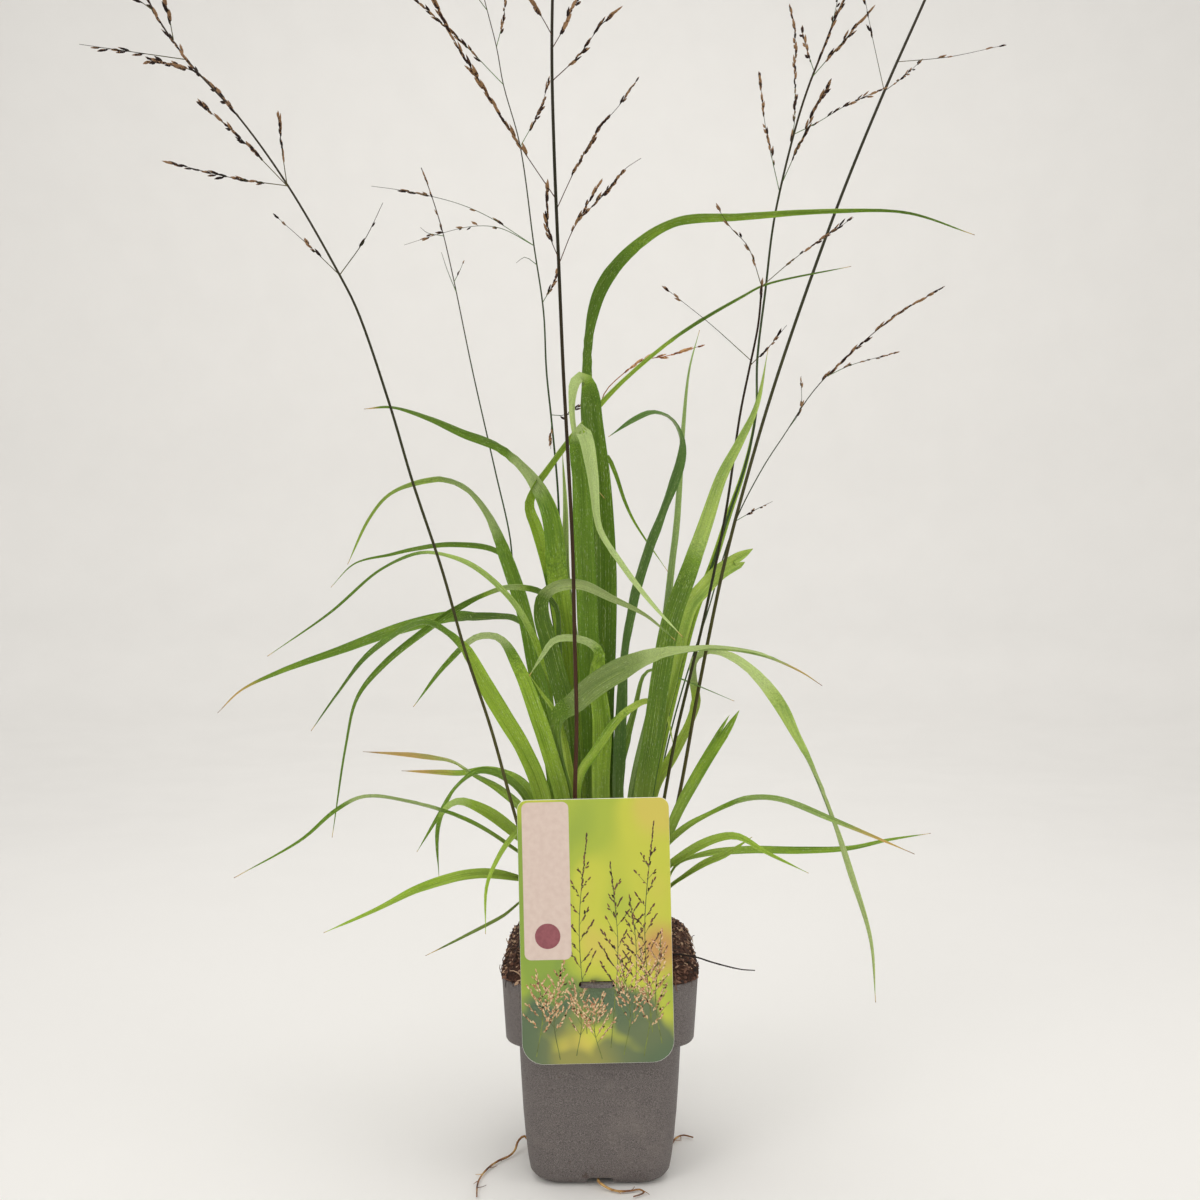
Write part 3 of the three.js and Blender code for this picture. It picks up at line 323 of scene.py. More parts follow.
crumb_rule, given = new_rule("Loose peat on the root ball", {
    "Crumb Density": 70000.0, "Chip Density": 60000.0, "Fibre Density": 22000.0, "Crumb Size": 0.0019,
    "Chip Length": 0.0048, "Fibre Length": 0.0085, "Lowest": 0.1184, "Seed": 5,
    "Peat": None, "Bits": None})
rule = crumb_rule
height = add(rule, "SeparateXYZ", add(rule, "GeometryNodeInputPosition"), out="Z")
on_top = add(rule, "FunctionNodeCompare GREATER_THAN", height, given["Lowest"])
crumb = add(rule, "GeometryNodeMeshIcoSphere", Radius=1.0, Subdivisions=1)
chip = add(rule, "GeometryNodeTransform", Geometry=crumb, Scale=(0.34, 0.16, 1.0), mode="COMPONENTS")
fibre_line = add(rule, "GeometryNodeCurvePrimitiveBezierSegment", Resolution=5, Start=(0, 0, -1),
                 Start_Handle=(0.35, 0, -0.3), End_Handle=(-0.3, 0.25, 0.4), End=(0.15, 0, 1))
fibre_ring = add(rule, "GeometryNodeCurvePrimitiveCircle", Resolution=4, Radius=0.045, mode="RADIUS")
fibre = add(rule, "GeometryNodeCurveToMesh", fibre_line, fibre_ring, Fill_Caps=True)
layers = []
for k, (shape, density, size, flat) in enumerate([(crumb, "Crumb Density", "Crumb Size", 0.7),
                                                  (chip, "Chip Density", "Chip Length", 1.35),
                                                  (fibre, "Fibre Density", "Fibre Length", 1.45)]):
    seed = add(rule, "Math ADD", given["Seed"], float(k))
    spots = add(rule, "GeometryNodeDistributePointsOnFaces", Mesh=given["Geometry"], Selection=on_top,
                Density=given[density], Seed=seed).node
    half = add(rule, "Math MULTIPLY", given[size], 0.5)
    small = add(rule, "FunctionNodeRandomValue", {2: 0.35, 3: 1.3}, Seed=k + 10, out=1)
    scale = add(rule, "Math MULTIPLY", half, small)
    turn = add(rule, "FunctionNodeRandomValue", (-0.35, -0.35, 0.0), (0.35, 0.35, 6.28), Seed=k + 20,
               data_type="FLOAT_VECTOR")
    lay = add(rule, "FunctionNodeRotateRotation", spots.outputs["Rotation"], turn, rotation_space="LOCAL")
    down = add(rule, "FunctionNodeRotateRotation", lay, (flat, 0.0, 0.0), rotation_space="LOCAL")
    copies = add(rule, "GeometryNodeInstanceOnPoints", Points=spots.outputs["Points"], Instance=shape,
                 Rotation=down, Scale=scale)
    tone = add(rule, "FunctionNodeRandomValue", {2: 0.0, 3: 1.0}, Seed=k + 30, out=1)
    toned = add(rule, "GeometryNodeStoreNamedAttribute", Geometry=copies, Name="tone", Value=tone,
                data_type="FLOAT", domain="INSTANCE")
    real = add(rule, "GeometryNodeRealizeInstances", toned)
    layers.append(add(rule, "GeometryNodeSetMaterial", real, Material=given["Bits"]))
ground = add(rule, "GeometryNodeSetMaterial", given["Geometry"], Material=given["Peat"])
add(rule, "NodeGroupOutput", add(rule, "GeometryNodeJoinGeometry", [ground, *layers]))

root_ball = skinned("root_ball_base", peat_rings)
peat = grown("root_ball", root_ball.data, crumb_rule, {"Peat": peat_dark, "Bits": peat_bits})
bpy.data.objects.remove(root_ball)
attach(peat, "root")
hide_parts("peat")


# Leafy shoots at the left: each is one sheathed shoot standing in the peat, from which long flat blades rise,
# arch over and droop. A blade is rolled round the shoot at its root, opens out within a hand's breadth into a
# shallow gutter with a sunk midrib, and tapers to a fine, often dry, tip.
BLADE_ROOT_HEIGHT = 146
BLADE_OPENS_BY = 75
FULL_WIDTH_FROM = 0.25
NARROWS_FROM, NARROWED_TO, TAPER = 0.5, 0.05, 1.35
SHEATH = {"low": 117, "high": 168, "low radius": 3.1, "high radius": 2.1, "steps": 12, "closed": 0.97,
          "stays rolled": 9000}
BLADE_STEP = 4.0
TIP_LENGTH, TIP_WIDTH = 14, 0.35
TIP_DRY, NEVER_DRY = 0.012, 0.001
TEAR_LENGTH, TEAR_STEPS = 15, 8

# A path's rows are x, y, z and how far the blade is rolled about its own length, in degrees. "faces" are
# (share of the length from which it holds, brightness, how much of its pale underside shows). The brightness
# was set stretch by stretch and paints in the light and shade on each stretch as well as the blade's own
# tone.
LEFT_SHOOTS = [
    {"name": "tuft_left_lowest", "foot": (-34, -18), "blades": [
        {"width": 6.6, "faces": [(0, 0.7, 0)],
         "path": [(-36, -22, 166, 0), (-47, -28, 171, 5), (-70, -41, 176, 50), (-95, -67, 175, 55),
                  (-116, -97, 170, 70), (-137, -120, 165, 45)]},
        {"width": 3, "faces": [(0, 0, 0.3)], "dry": 0.12,
         "path": [(-40, -15, 157, 0), (-58, -8, 143, 50), (-84, -5, 129, 55), (-104, 0, 118, 40)]},
        {"width": 3.8, "faces": [(0, 0.8, 0)],
         "path": [(-39, -27, 190, 40), (-44, -34, 200, 40), (-50, -42, 196, 35), (-57, -51, 186, 35),
                  (-62, -58, 173, 25), (-62, -65, 149, 0)]},
    ]},
    {"name": "tuft_left_low", "foot": (-36, -4), "blades": [
        {"width": 7.6, "faces": [(0, 1, 0), (0.59, 1, 0.6), (0.72, 0.3, 0.2)],
         "path": [(-42, -8, 184, 20), (-54, -8, 196, 20), (-69, -11, 207, 40), (-83, -14, 212, 65),
                  (-91, -17, 207, 60), (-94, -20, 195, 40), (-93, -22, 170, 50)]},
        {"width": 3.4, "faces": [(0, 0.45, 0), (0.43, 0, 1), (0.69, 0.4, 0)], "dry": 0.04,
         "path": [(-42, -12, 176, 50), (-54, -18, 188, 60), (-76, -28, 204, 60), (-105, -45, 217, 75),
                  (-129, -63, 223, 65), (-142, -72, 217, 15), (-157, -83, 204, 10), (-187, -102, 188, 0)]},
    ]},
    {"name": "tuft_left_back", "foot": (-34, 12), "blades": [
        {"width": 5.4, "faces": [(0, 0.45, 0), (0.68, 0.45, 0.3)],
         "path": [(-44, 12, 208, 40), (-58, 16, 222, 45), (-74, 22, 225, 45), (-89, 30, 214, 75),
                  (-101, 38, 195, 10), (-117, 52, 169, 10)]},
        {"width": 5.8, "faces": [(0, 0.55, 0), (0.5, 0.8, 0.5)], "dry": 0.42,
         "path": [(-43, 18, 196, -20), (-61, 29, 212, -15), (-80, 43, 220, -60), (-97, 62, 226, -70),
                  (-122, 88, 226, -15), (-169, 140, 222, -35)]},
        {"width": 5.6, "faces": [(0, 0.6, 0), (0.49, 0.65, 0.2)], "dry": 0.25,
         "path": [(-37, 17, 194, 10), (-45, 22, 215, 10), (-66, 38, 223, 65), (-90, 61, 218, 50),
                  (-108, 80, 216, 10), (-137, 114, 212, 10)]},
    ]},
    {"name": "tuft_left_front_arch", "foot": (-25, -24), "blades": [
        {"width": 10, "faces": [(0, 0.7, 0), (0.63, 0.25, 0), (0.83, 0, 0)],
         "path": [(-33, -28, 217, 10), (-43, -34, 244, 35), (-54, -40, 264, 25), (-65, -48, 284, 35),
                  (-74, -56, 302, 58), (-86, -63, 314, 80), (-95, -68, 318, 60), (-105, -74, 314, 60),
                  (-123, -84, 300, 45), (-137, -89, 281, 65), (-150, -92, 262, 35)]},
    ]},
    {"name": "tuft_left_broad_arch", "foot": (-15, -24), "blades": [
        {"width": 9.4, "faces": [(0, 0.65, 0), (0.69, 0.1, 0.8), (0.82, 0.4, 0)], "taper": 1.1,
         "path": [(-22, -30, 218, 25), (-27, -32, 237, 15), (-36, -33, 265, 15), (-46, -34, 291, 0),
                  (-57, -36, 308, 60), (-69, -38, 309, 45), (-86, -45, 294, 10), (-103, -53, 271, 10)]},
    ]},
    {"name": "tuft_left_long", "foot": (-22, 8), "blades": [
        {"width": 9.8, "faces": [(0, 0.45, 0.1), (0.6, 0.35, 0.6), (0.74, 0.7, 0.4)],
         "path": [(-27, 8, 211, 0), (-30, 10, 251, -10), (-38, 12, 284, -10), (-46, 14, 323, -20),
                  (-57, 16, 356, -20), (-67, 19, 380, -55), (-81, 23, 398, -70), (-96, 29, 405, -65),
                  (-113, 36, 404, -60), (-134, 46, 397, -75), (-148, 53, 382, -60), (-163, 60, 353, -15)]},
        {"width": 8.8, "faces": [(0, 0.7, 0.1), (0.38, 0, 0.1), (0.49, 0.5, 0)], "dry": 0.1,
         "path": [(-29, 16, 245, 65), (-34, 20, 287, 65), (-43, 24, 310, 70), (-53, 28, 318, 70),
                  (-76, 38, 319, 55), (-95, 51, 319, 35), (-133, 82, 311, 10), (-178, 117, 296, 10),
                  (-228, 141, 279, 10), (-261, 156, 264, 45), (-281, 167, 247, 0)]},
        {"width": 4.6, "faces": [(0, 0.4, 0.1)],
         "path": [(-37, 20, 269, -50), (-45, 28, 318, -50), (-53, 34, 349, -45), (-65, 42, 361, -35),
                  (-95, 61, 366, -25), (-124, 86, 364, -10), (-142, 102, 361, 10), (-173, 127, 355, 10),
                  (-192, 141, 339, 0)]},
    ]},
    {"name": "tuft_left_narrow", "foot": (-18, -6), "blades": [
        {"width": 4.4, "faces": [(0, 0.75, 0.3), (0.48, 0.65, 0.5), (0.71, 0.15, 0.2)],
         "path": [(-18, -6, 214, 25), (-23, -7, 269, 35), (-32, -8, 290, 35), (-42, -9, 314, 35),
                  (-53, -10, 331, 45), (-73, -13, 349, 30), (-90, -18, 356, 60), (-104, -23, 357, 45),
                  (-125, -32, 347, 55), (-151, -43, 323, 10), (-183, -55, 299, 0)]},
        {"width": 5.6, "faces": [(0, 0, 0), (0.5, 1.15, 0.7), (0.56, 0.25, 0)],
         "path": [(-20, -2, 213, -40), (-23, -1, 270, -50), (-24, 0, 306, -60), (-26, 1, 326, -60),
                  (-35, 2, 335, -50), (-54, 1, 338, -50), (-68, -1, 334, -70), (-88, -6, 323, -35),
                  (-104, -12, 311, 0), (-125, -20, 293, -10), (-139, -27, 274, 45), (-144, -34, 248, 45),
                  (-150, -43, 197, 10)]},
    ]},
]


def smooth(rows, step):
    """Even rows along the smooth curve through the rows; the columns after x, y, z are carried along."""
    points = [Vector(row[:3]) for row in rows]
    ends = [2 * points[0] - points[1], *points, 2 * points[-1] - points[-2]]
    dense = []
    for i in range(len(points) - 1):
        a, b, c, d = ends[i:i + 4]
        before, span, after = (max(1e-4, math.sqrt((q - p).length)) for p, q in ((a, b), (b, c), (c, d)))
        leaving = ((b - a) / before - (c - a) / (before + span) + (c - b) / span) * span
        reaching = ((c - b) / span - (d - b) / (span + after) + (d - c) / after) * span
        for k in range(20):
            t = k / 20
            place = ((2 * t ** 3 - 3 * t ** 2 + 1) * b + (t ** 3 - 2 * t ** 2 + t) * leaving
                     + (3 * t ** 2 - 2 * t ** 3) * c + (t ** 3 - t ** 2) * reaching)
            dense.append([*place, *(p + (q - p) * t for p, q in zip(rows[i][3:], rows[i + 1][3:]))])
    dense.append(list(rows[-1]))
    reach = [0]
    for p, q in zip(dense, dense[1:]):
        reach.append(reach[-1] + math.dist(p[:3], q[:3]))
    count = max(2, round(reach[-1] / step))
    even, k = [], 0
    for i in range(count + 1):
        want = reach[-1] * i / count
        while k < len(dense) - 2 and reach[k + 1] < want:
            k += 1
        share = (want - reach[k]) / max(1e-9, reach[k + 1] - reach[k])
        even.append([p + (q - p) * share for p, q in zip(dense[k], dense[k + 1])])
    return even


def guide(name, lines, columns):
    """A mesh of open lines whose points carry the named columns of numbers that follow x, y, z."""
    mesh = bpy.data.meshes.new(name)
    edges, start = [], 0
    for line in lines:
        edges += [(start + i, start + i + 1) for i in range(len(line) - 1)]
        start += len(line)
    rows = [row for line in lines for row in line]
    mesh.from_pydata([[value * MM for value in row[:3]] for row in rows], edges, [])
    for k, column in enumerate(columns):
        attribute = mesh.attributes.new(column, "FLOAT", "POINT")
        attribute.data.foreach_set("value", [row[3 + k] for row in rows])
    return mesh


def eased(values, times):
    """The values with each drawn towards its neighbours, the given number of times over."""
    for _ in range(times):
        near = [values[max(0, i - 1):i + 2] for i in range(len(values))]
        values = [sum(few) / len(few) for few in near]
    return values


BLADE_COLUMNS = ["roll", "half", "reach", "share", "wrap", "tone", "under", "dry"]


def blade_lines(foot, blade, tone):
    """The middle line of a blade, as rows of place and BLADE_COLUMNS, and the prongs a torn blade ends in."""
    path = blade["path"]
    rows = smooth([[*foot, BLADE_ROOT_HEIGHT, path[0][3]], *path], BLADE_STEP)
    faces = []
    for i in range(len(rows)):
        share = i / (len(rows) - 1)
        faces.append([face for face in blade.get("faces", [(0, tone, 0)]) if face[0] <= share][-1])
    rolls = eased([row[3] for row in rows], 4)
    # Each stretch's brightness holds painted light and shade as well as the blade's own tone.
    tone_and_painted_light, unders = eased([face[1] for face in faces], 5), eased([face[2] for face in faces], 3)
    line = []
    for i, row in enumerate(rows):
        share = i / (len(rows) - 1)
        left = (1 - share) * (len(rows) - 1) * BLADE_STEP
        beyond = max(0, share - NARROWS_FROM) / (1 - NARROWS_FROM)
        fine = 1 if "torn" in blade else 1 - (1 - NARROWED_TO) * beyond ** blade.get("taper", TAPER)
        width = blade["width"] * min(0.5 + 0.5 * min(1, share / FULL_WIDTH_FROM), fine)
        if "torn" not in blade:
            width = max(TIP_WIDTH, width * min(1, math.sqrt(0.03 + left / TIP_LENGTH)))
        line.append([*row[:3], math.radians(rolls[i]), width / 2, i * BLADE_STEP, share, BLADE_OPENS_BY,
                     tone_and_painted_light[i], unders[i], blade.get("dry", TIP_DRY)])
    if "torn" not in blade:
        return [line]
    first = len(line) - 1 - TEAR_LENGTH / BLADE_STEP
    prongs = []
    for offset, part, short in blade["torn"]:
        prong = []
        for k in range(TEAR_STEPS + 1):
            place = first - 1 + (len(line) - first - short / BLADE_STEP) * k / TEAR_STEPS
            i = min(len(line) - 2, int(place))
            row = [p + (q - p) * (place - i) for p, q in zip(line[i], line[i + 1])]
            tangent = (Vector(line[i + 1][:3]) - Vector(line[i][:3])).normalized()
            side = Quaternion(tangent, row[3]) @ tangent.cross(Vector((0, 1, 0))).normalized()
            row[:3] = Vector(row[:3]) + side * row[4] * offset
            row[4] *= part * max(0.08, 1 - (k / TEAR_STEPS) ** 2.2)
            prong.append(row)
        prongs.append(prong)
    return [line[:int(first) + 1], *prongs]


def sheath_line(foot, tone):
    """The sheath is a blade rolled right round into a tube: its half width is half way round it."""
    line = []
    for i in range(SHEATH["steps"] + 1):
        share = i / SHEATH["steps"]
        radius = SHEATH["low radius"] + (SHEATH["high radius"] - SHEATH["low radius"]) * share
        z = SHEATH["low"] + (SHEATH["high"] - SHEATH["low"]) * share
        half = math.pi * radius * SHEATH["closed"]
        line.append([*foot, z, 0, half, 0, 0, SHEATH["stays rolled"], tone, 0, NEVER_DRY])
    return line


# The blade's cross-section has fourteen points, seven on each face. Their places are worked out from the
# curve's direction and the roll: across the blade and up from it.
blade_rule, given = new_rule("Grass blade along a line", {
    "Thickness mm": 0.5, "Root Curl": 3.05, "Open Curl": 0.22, "Fold": 0.24, "Keel": 0.18,
    "Midrib Depth mm": 0.22, "Edge Wave": 0.10, "Wave Pitch mm": 26.0, "Skin": None})
rule = blade_rule
line = add(rule, "GeometryNodeMeshToCurve", given["Geometry"])
named = {}
for column in BLADE_COLUMNS:
    named[column] = add(rule, "GeometryNodeInputNamedAttribute", Name=column, data_type="FLOAT")
tangent = add(rule, "GeometryNodeInputTangent")
flat = add(rule, "VectorMath CROSS_PRODUCT", tangent, (0, 1, 0))
flat = add(rule, "VectorMath NORMALIZE", flat)
side = add(rule, "VectorRotate", Vector=flat, Axis=tangent, Angle=named["roll"])
up = add(rule, "VectorMath CROSS_PRODUCT", tangent, side)
middle = add(rule, "GeometryNodeInputPosition")
keep = add(rule, "GeometryNodeCaptureAttribute", domain="POINT").node
for label, field in (("side", side), ("up", up), ("middle", middle)):
    keep.capture_items.new("VECTOR", label)
    rule.links.new(field, keep.inputs[label])
rule.links.new(line, keep.inputs[0])
ring = add(rule, "GeometryNodeCurvePrimitiveCircle", Resolution=14, Radius=0.001, mode="RADIUS")
count = add(rule, "GeometryNodeCaptureAttribute", domain="POINT").node
count.capture_items.new("FLOAT", "number")
rule.links.new(add(rule, "GeometryNodeInputIndex"), count.inputs["number"])
rule.links.new(ring, count.inputs[0])
strip = add(rule, "GeometryNodeCurveToMesh", keep.outputs[0], count.outputs[0], Fill_Caps=True)
number = count.outputs["number"]
folded = add(rule, "Math PINGPONG", number, 6.5)
spread = add(rule, "Math MULTIPLY_ADD", folded, math.pi / 6, -math.pi / 2)
across = add(rule, "Math SINE", spread)
top = add(rule, "Math LESS_THAN", number, 6.5)
curl = add(rule, "MapRange", named["reach"], 0.0, named["wrap"], given["Root Curl"], given["Open Curl"],
           interpolation_type="SMOOTHSTEP")
angle = add(rule, "Math MULTIPLY", across, curl)
radius = add(rule, "Math DIVIDE", named["half"], curl)
sine = add(rule, "Math SINE", angle)
cosine = add(rule, "Math COSINE", angle)
out = add(rule, "Math MULTIPLY", sine, radius)
sag = add(rule, "Math SUBTRACT", 1.0, cosine)
sag = add(rule, "Math MULTIPLY", sag, radius)
keel = add(rule, "Math MULTIPLY", named["half"], given["Keel"])
lift = add(rule, "Math SUBTRACT", sag, keel)
apart = add(rule, "Math ABSOLUTE", across)
fold = add(rule, "MapRange", named["reach"], 0.0, named["wrap"], 0.0, given["Fold"],
           interpolation_type="SMOOTHSTEP")
fold = add(rule, "Math MULTIPLY", fold, named["half"])
lift = add(rule, "Math MULTIPLY_ADD", fold, apart, lift)
at_rib = add(rule, "Math LESS_THAN", apart, 0.2)
wide = add(rule, "MapRange", named["half"], 0.4, 2.5, 0.0, 1.0)
groove = add(rule, "Math MULTIPLY", at_rib, given["Midrib Depth mm"])
groove = add(rule, "Math MULTIPLY", groove, wide)
lift = add(rule, "Math SUBTRACT", lift, groove)
pitch = add(rule, "Math DIVIDE", named["reach"], given["Wave Pitch mm"])
lane = add(rule, "Math MULTIPLY_ADD", named["tone"], 40.0, across)
spot = add(rule, "CombineXYZ", pitch, lane)
wave = add(rule, "TexNoise", Vector=spot, Scale=1.0, Detail=1.0, noise_dimensions="2D")
wave = add(rule, "MapRange", wave, 0.2, 0.8, -1.0, 1.0)
wave = add(rule, "Math MULTIPLY", wave, given["Edge Wave"])
wave = add(rule, "Math MULTIPLY", wave, apart)
lift = add(rule, "Math MULTIPLY_ADD", wave, named["half"], lift)
thin = add(rule, "MapRange", apart, 0.5, 1.0, 1.0, 0.35)
thin = add(rule, "Math MULTIPLY", thin, given["Thickness mm"])
finer = add(rule, "MapRange", named["half"], 0.1, 1.5, 0.45, 1.0)
thin = add(rule, "Math MULTIPLY", thin, finer)
face = add(rule, "Math SUBTRACT", top, 0.5)
lift = add(rule, "Math MULTIPLY_ADD", face, thin, lift)
out_m = add(rule, "Math MULTIPLY", out, MM)
lift_m = add(rule, "Math MULTIPLY", lift, MM)
sideways = add(rule, "VectorMath SCALE", {0: keep.outputs["side"], 3: out_m})
upwards = add(rule, "VectorMath SCALE", {0: keep.outputs["up"], 3: lift_m})
place = add(rule, "VectorMath ADD", keep.outputs["middle"], sideways)
place = add(rule, "VectorMath ADD", place, upwards)
across_mm = add(rule, "Math MULTIPLY", across, named["half"])
leaf = add(rule, "CombineXYZ", across_mm, named["reach"], named["share"])
kept = add(rule, "GeometryNodeStoreNamedAttribute", Geometry=strip, Name="leaf", Value=leaf,
           data_type="FLOAT_VECTOR", domain="POINT")
beneath = add(rule, "Math SUBTRACT", top, named["under"])
beneath = add(rule, "Math ABSOLUTE", beneath)
kept = add(rule, "GeometryNodeStoreNamedAttribute", Geometry=kept, Name="upper", Value=beneath,
           data_type="FLOAT", domain="POINT")
shaped = add(rule, "GeometryNodeSetPosition", Geometry=kept, Position=place)
shaped = add(rule, "GeometryNodeRealizeInstances", shaped)
skin = add(rule, "GeometryNodeSetMaterial", shaped, Material=given["Skin"])
add(rule, "NodeGroupOutput", skin)


def leaf_skin(name, root, deep, body, bright, under):
    """A blade's skin: fine lengthwise veins 0.5 mm apart, drawn about twice as coarse, with broader bands of
    deeper and fresher green, rows of pale flecks, rough grain, a pale root and underside, a drying tip. The
    blade's tone, which holds painted light and shade as well as its own colour, moves it between the greens."""
    material, tree, shader = finish_of(name)
    leaf = add(tree, "Attribute", out="Vector", attribute_name="leaf")
    tone, dry, upper = [add(tree, "Attribute", out="Fac", attribute_name=name)
                        for name in ("tone", "dry", "upper")]
    parts = add(tree, "SeparateXYZ", leaf).node
    across, along = parts.outputs[0], parts.outputs[1]
    place = add(tree, "TexCoord", out="Object")

    # Noise drawn out along the blade, by its stretch across and along it and its detail.
    drawn = []
    for wide, long, detail in ((3.1, 0.022, 2.0), (0.7, 0.008, 1.0), (2.8, 0.42, 0.0), (0.2, 0.045, 3.0)):
        x = add(tree, "Math MULTIPLY", across, wide)
        y = add(tree, "Math MULTIPLY", along, long)
        z = add(tree, "Math MULTIPLY_ADD", tone, 90.0, wide)
        spot = add(tree, "CombineXYZ", x, y, z)
        drawn.append(add(tree, "TexNoise", Vector=spot, Scale=1.0, Detail=detail))
    veins, bands, flecks, patch = drawn
    grain = add(tree, "TexNoise", Vector=place, Scale=1500, Detail=2.0)

    # The tone from each stretch's brightness carries painted light and shade as well as the blade's own
    # colour.
    bands_tone_and_painted_light = add(tree, "Math MULTIPLY_ADD", patch, 0.3, tone)
    bands_tone_and_painted_light = add(tree, "Math MULTIPLY_ADD", bands, 0.3, bands_tone_and_painted_light)
    green = ramp(tree, bands_tone_and_painted_light, [(0.25, deep), (0.78, body), (1.33, bright)])
    pale = add(tree, "MapRange", bands_tone_and_painted_light, 0.33, 1.43, 0.72, 1.0)
    pale = add(tree, "VectorMath SCALE", {0: linear(under)[:3], 3: pale})
    lower = add(tree, "MapRange", upper, 0.3, 0.7, 0.92, 0.0)
    green = add(tree, "Mix", {0: lower, 6: green, 7: pale}, out=2, data_type="RGBA")
    row = add(tree, "Math ADD", veins, flecks)
    for field, low, high, most, colour in ((veins, 0.54, 0.68, 0.32, bright), (veins, 0.46, 0.34, 0.42, deep),
                                           (row, 1.22, 1.34, 0.34, "#C9D6A6")):
        layer = add(tree, "MapRange", field, low, high, 0.0, most)
        green = add(tree, "Mix", {0: layer, 6: green, 7: linear(colour)}, out=2, data_type="RGBA")
    speck = add(tree, "MapRange", grain, 0.3, 0.7, 0.84, 1.16)
    green = add(tree, "VectorMath SCALE", {0: green, 3: speck})
    from_tip = add(tree, "Math SUBTRACT", 1.0, parts.outputs[2])
    ragged = add(tree, "Math MULTIPLY_ADD", patch, 0.9, 0.55)
    dried = add(tree, "Math MULTIPLY", dry, ragged)
    tip = add(tree, "Math DIVIDE", from_tip, dried)
    for field, low, high, most, colour in ((along, 15.0, 95.0, 0.75, root), (tip, 0.55, 1.25, 0.9, "#BE9A56"),
                                           (tip, 0.03, 0.26, 0.9, "#6E4430")):
        layer = add(tree, "MapRange", field, low, high, most, 0.0)
        green = add(tree, "Mix", {0: layer, 6: green, 7: linear(colour)}, out=2, data_type="RGBA")
    relief = add(tree, "Bump", Height=veins, Strength=0.5, Distance=0.0002)
    sheen = add(tree, "MapRange", patch, 0.3, 0.7, 0.44, 0.6)
    feed(shader, {"Base Color": green, "Normal": relief, "Roughness": sheen, "Specular IOR Level": 0.25,
                  "Subsurface Weight": 0.12, "Subsurface Radius": (0.6, 1.0, 0.25),
                  "Subsurface Scale": 0.0012})
    return material


GREEN_LEAF = leaf_skin("mid-green grass blade, satin", "#9AAB59", "#3F5A11", "#62841F", "#92AF37", "#AFC27E")
LIGHT_LEAF = leaf_skin("young grass blade, yellow-green", "#A4B559", "#486518", "#709125", "#AFC551",
                       "#B7C983")
DARK_LEAF = leaf_skin("old grass blade, dark green", "#869A4C", "#385323", "#567733", "#84A048", "#9FB37C")
LEAF_SKINS = {"leaf": GREEN_LEAF, "lightLeaf": LIGHT_LEAF, "darkLeaf": DARK_LEAF}
tones = random.Random(21)


def plant(shoots):
    """Makes each shoot with its sheath and blades as one piece that stands for its solid."""
    for shoot in shoots:
        kind = shoot.get("colour", "leaf")
        lines = [sheath_line(shoot["foot"], tones.random())]
        for blade in shoot["blades"]:
            lines += blade_lines(shoot["foot"], blade, 0.3 + 0.4 * tones.random())
        mesh = guide(shoot["name"], lines, BLADE_COLUMNS)
        leaves = grown(shoot["name"].replace("tuft", "leaves"), mesh, blade_rule, {"Skin": LEAF_SKINS[kind]})
        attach(leaves, "root")
        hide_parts(shoot["name"])


plant(LEFT_SHOOTS)


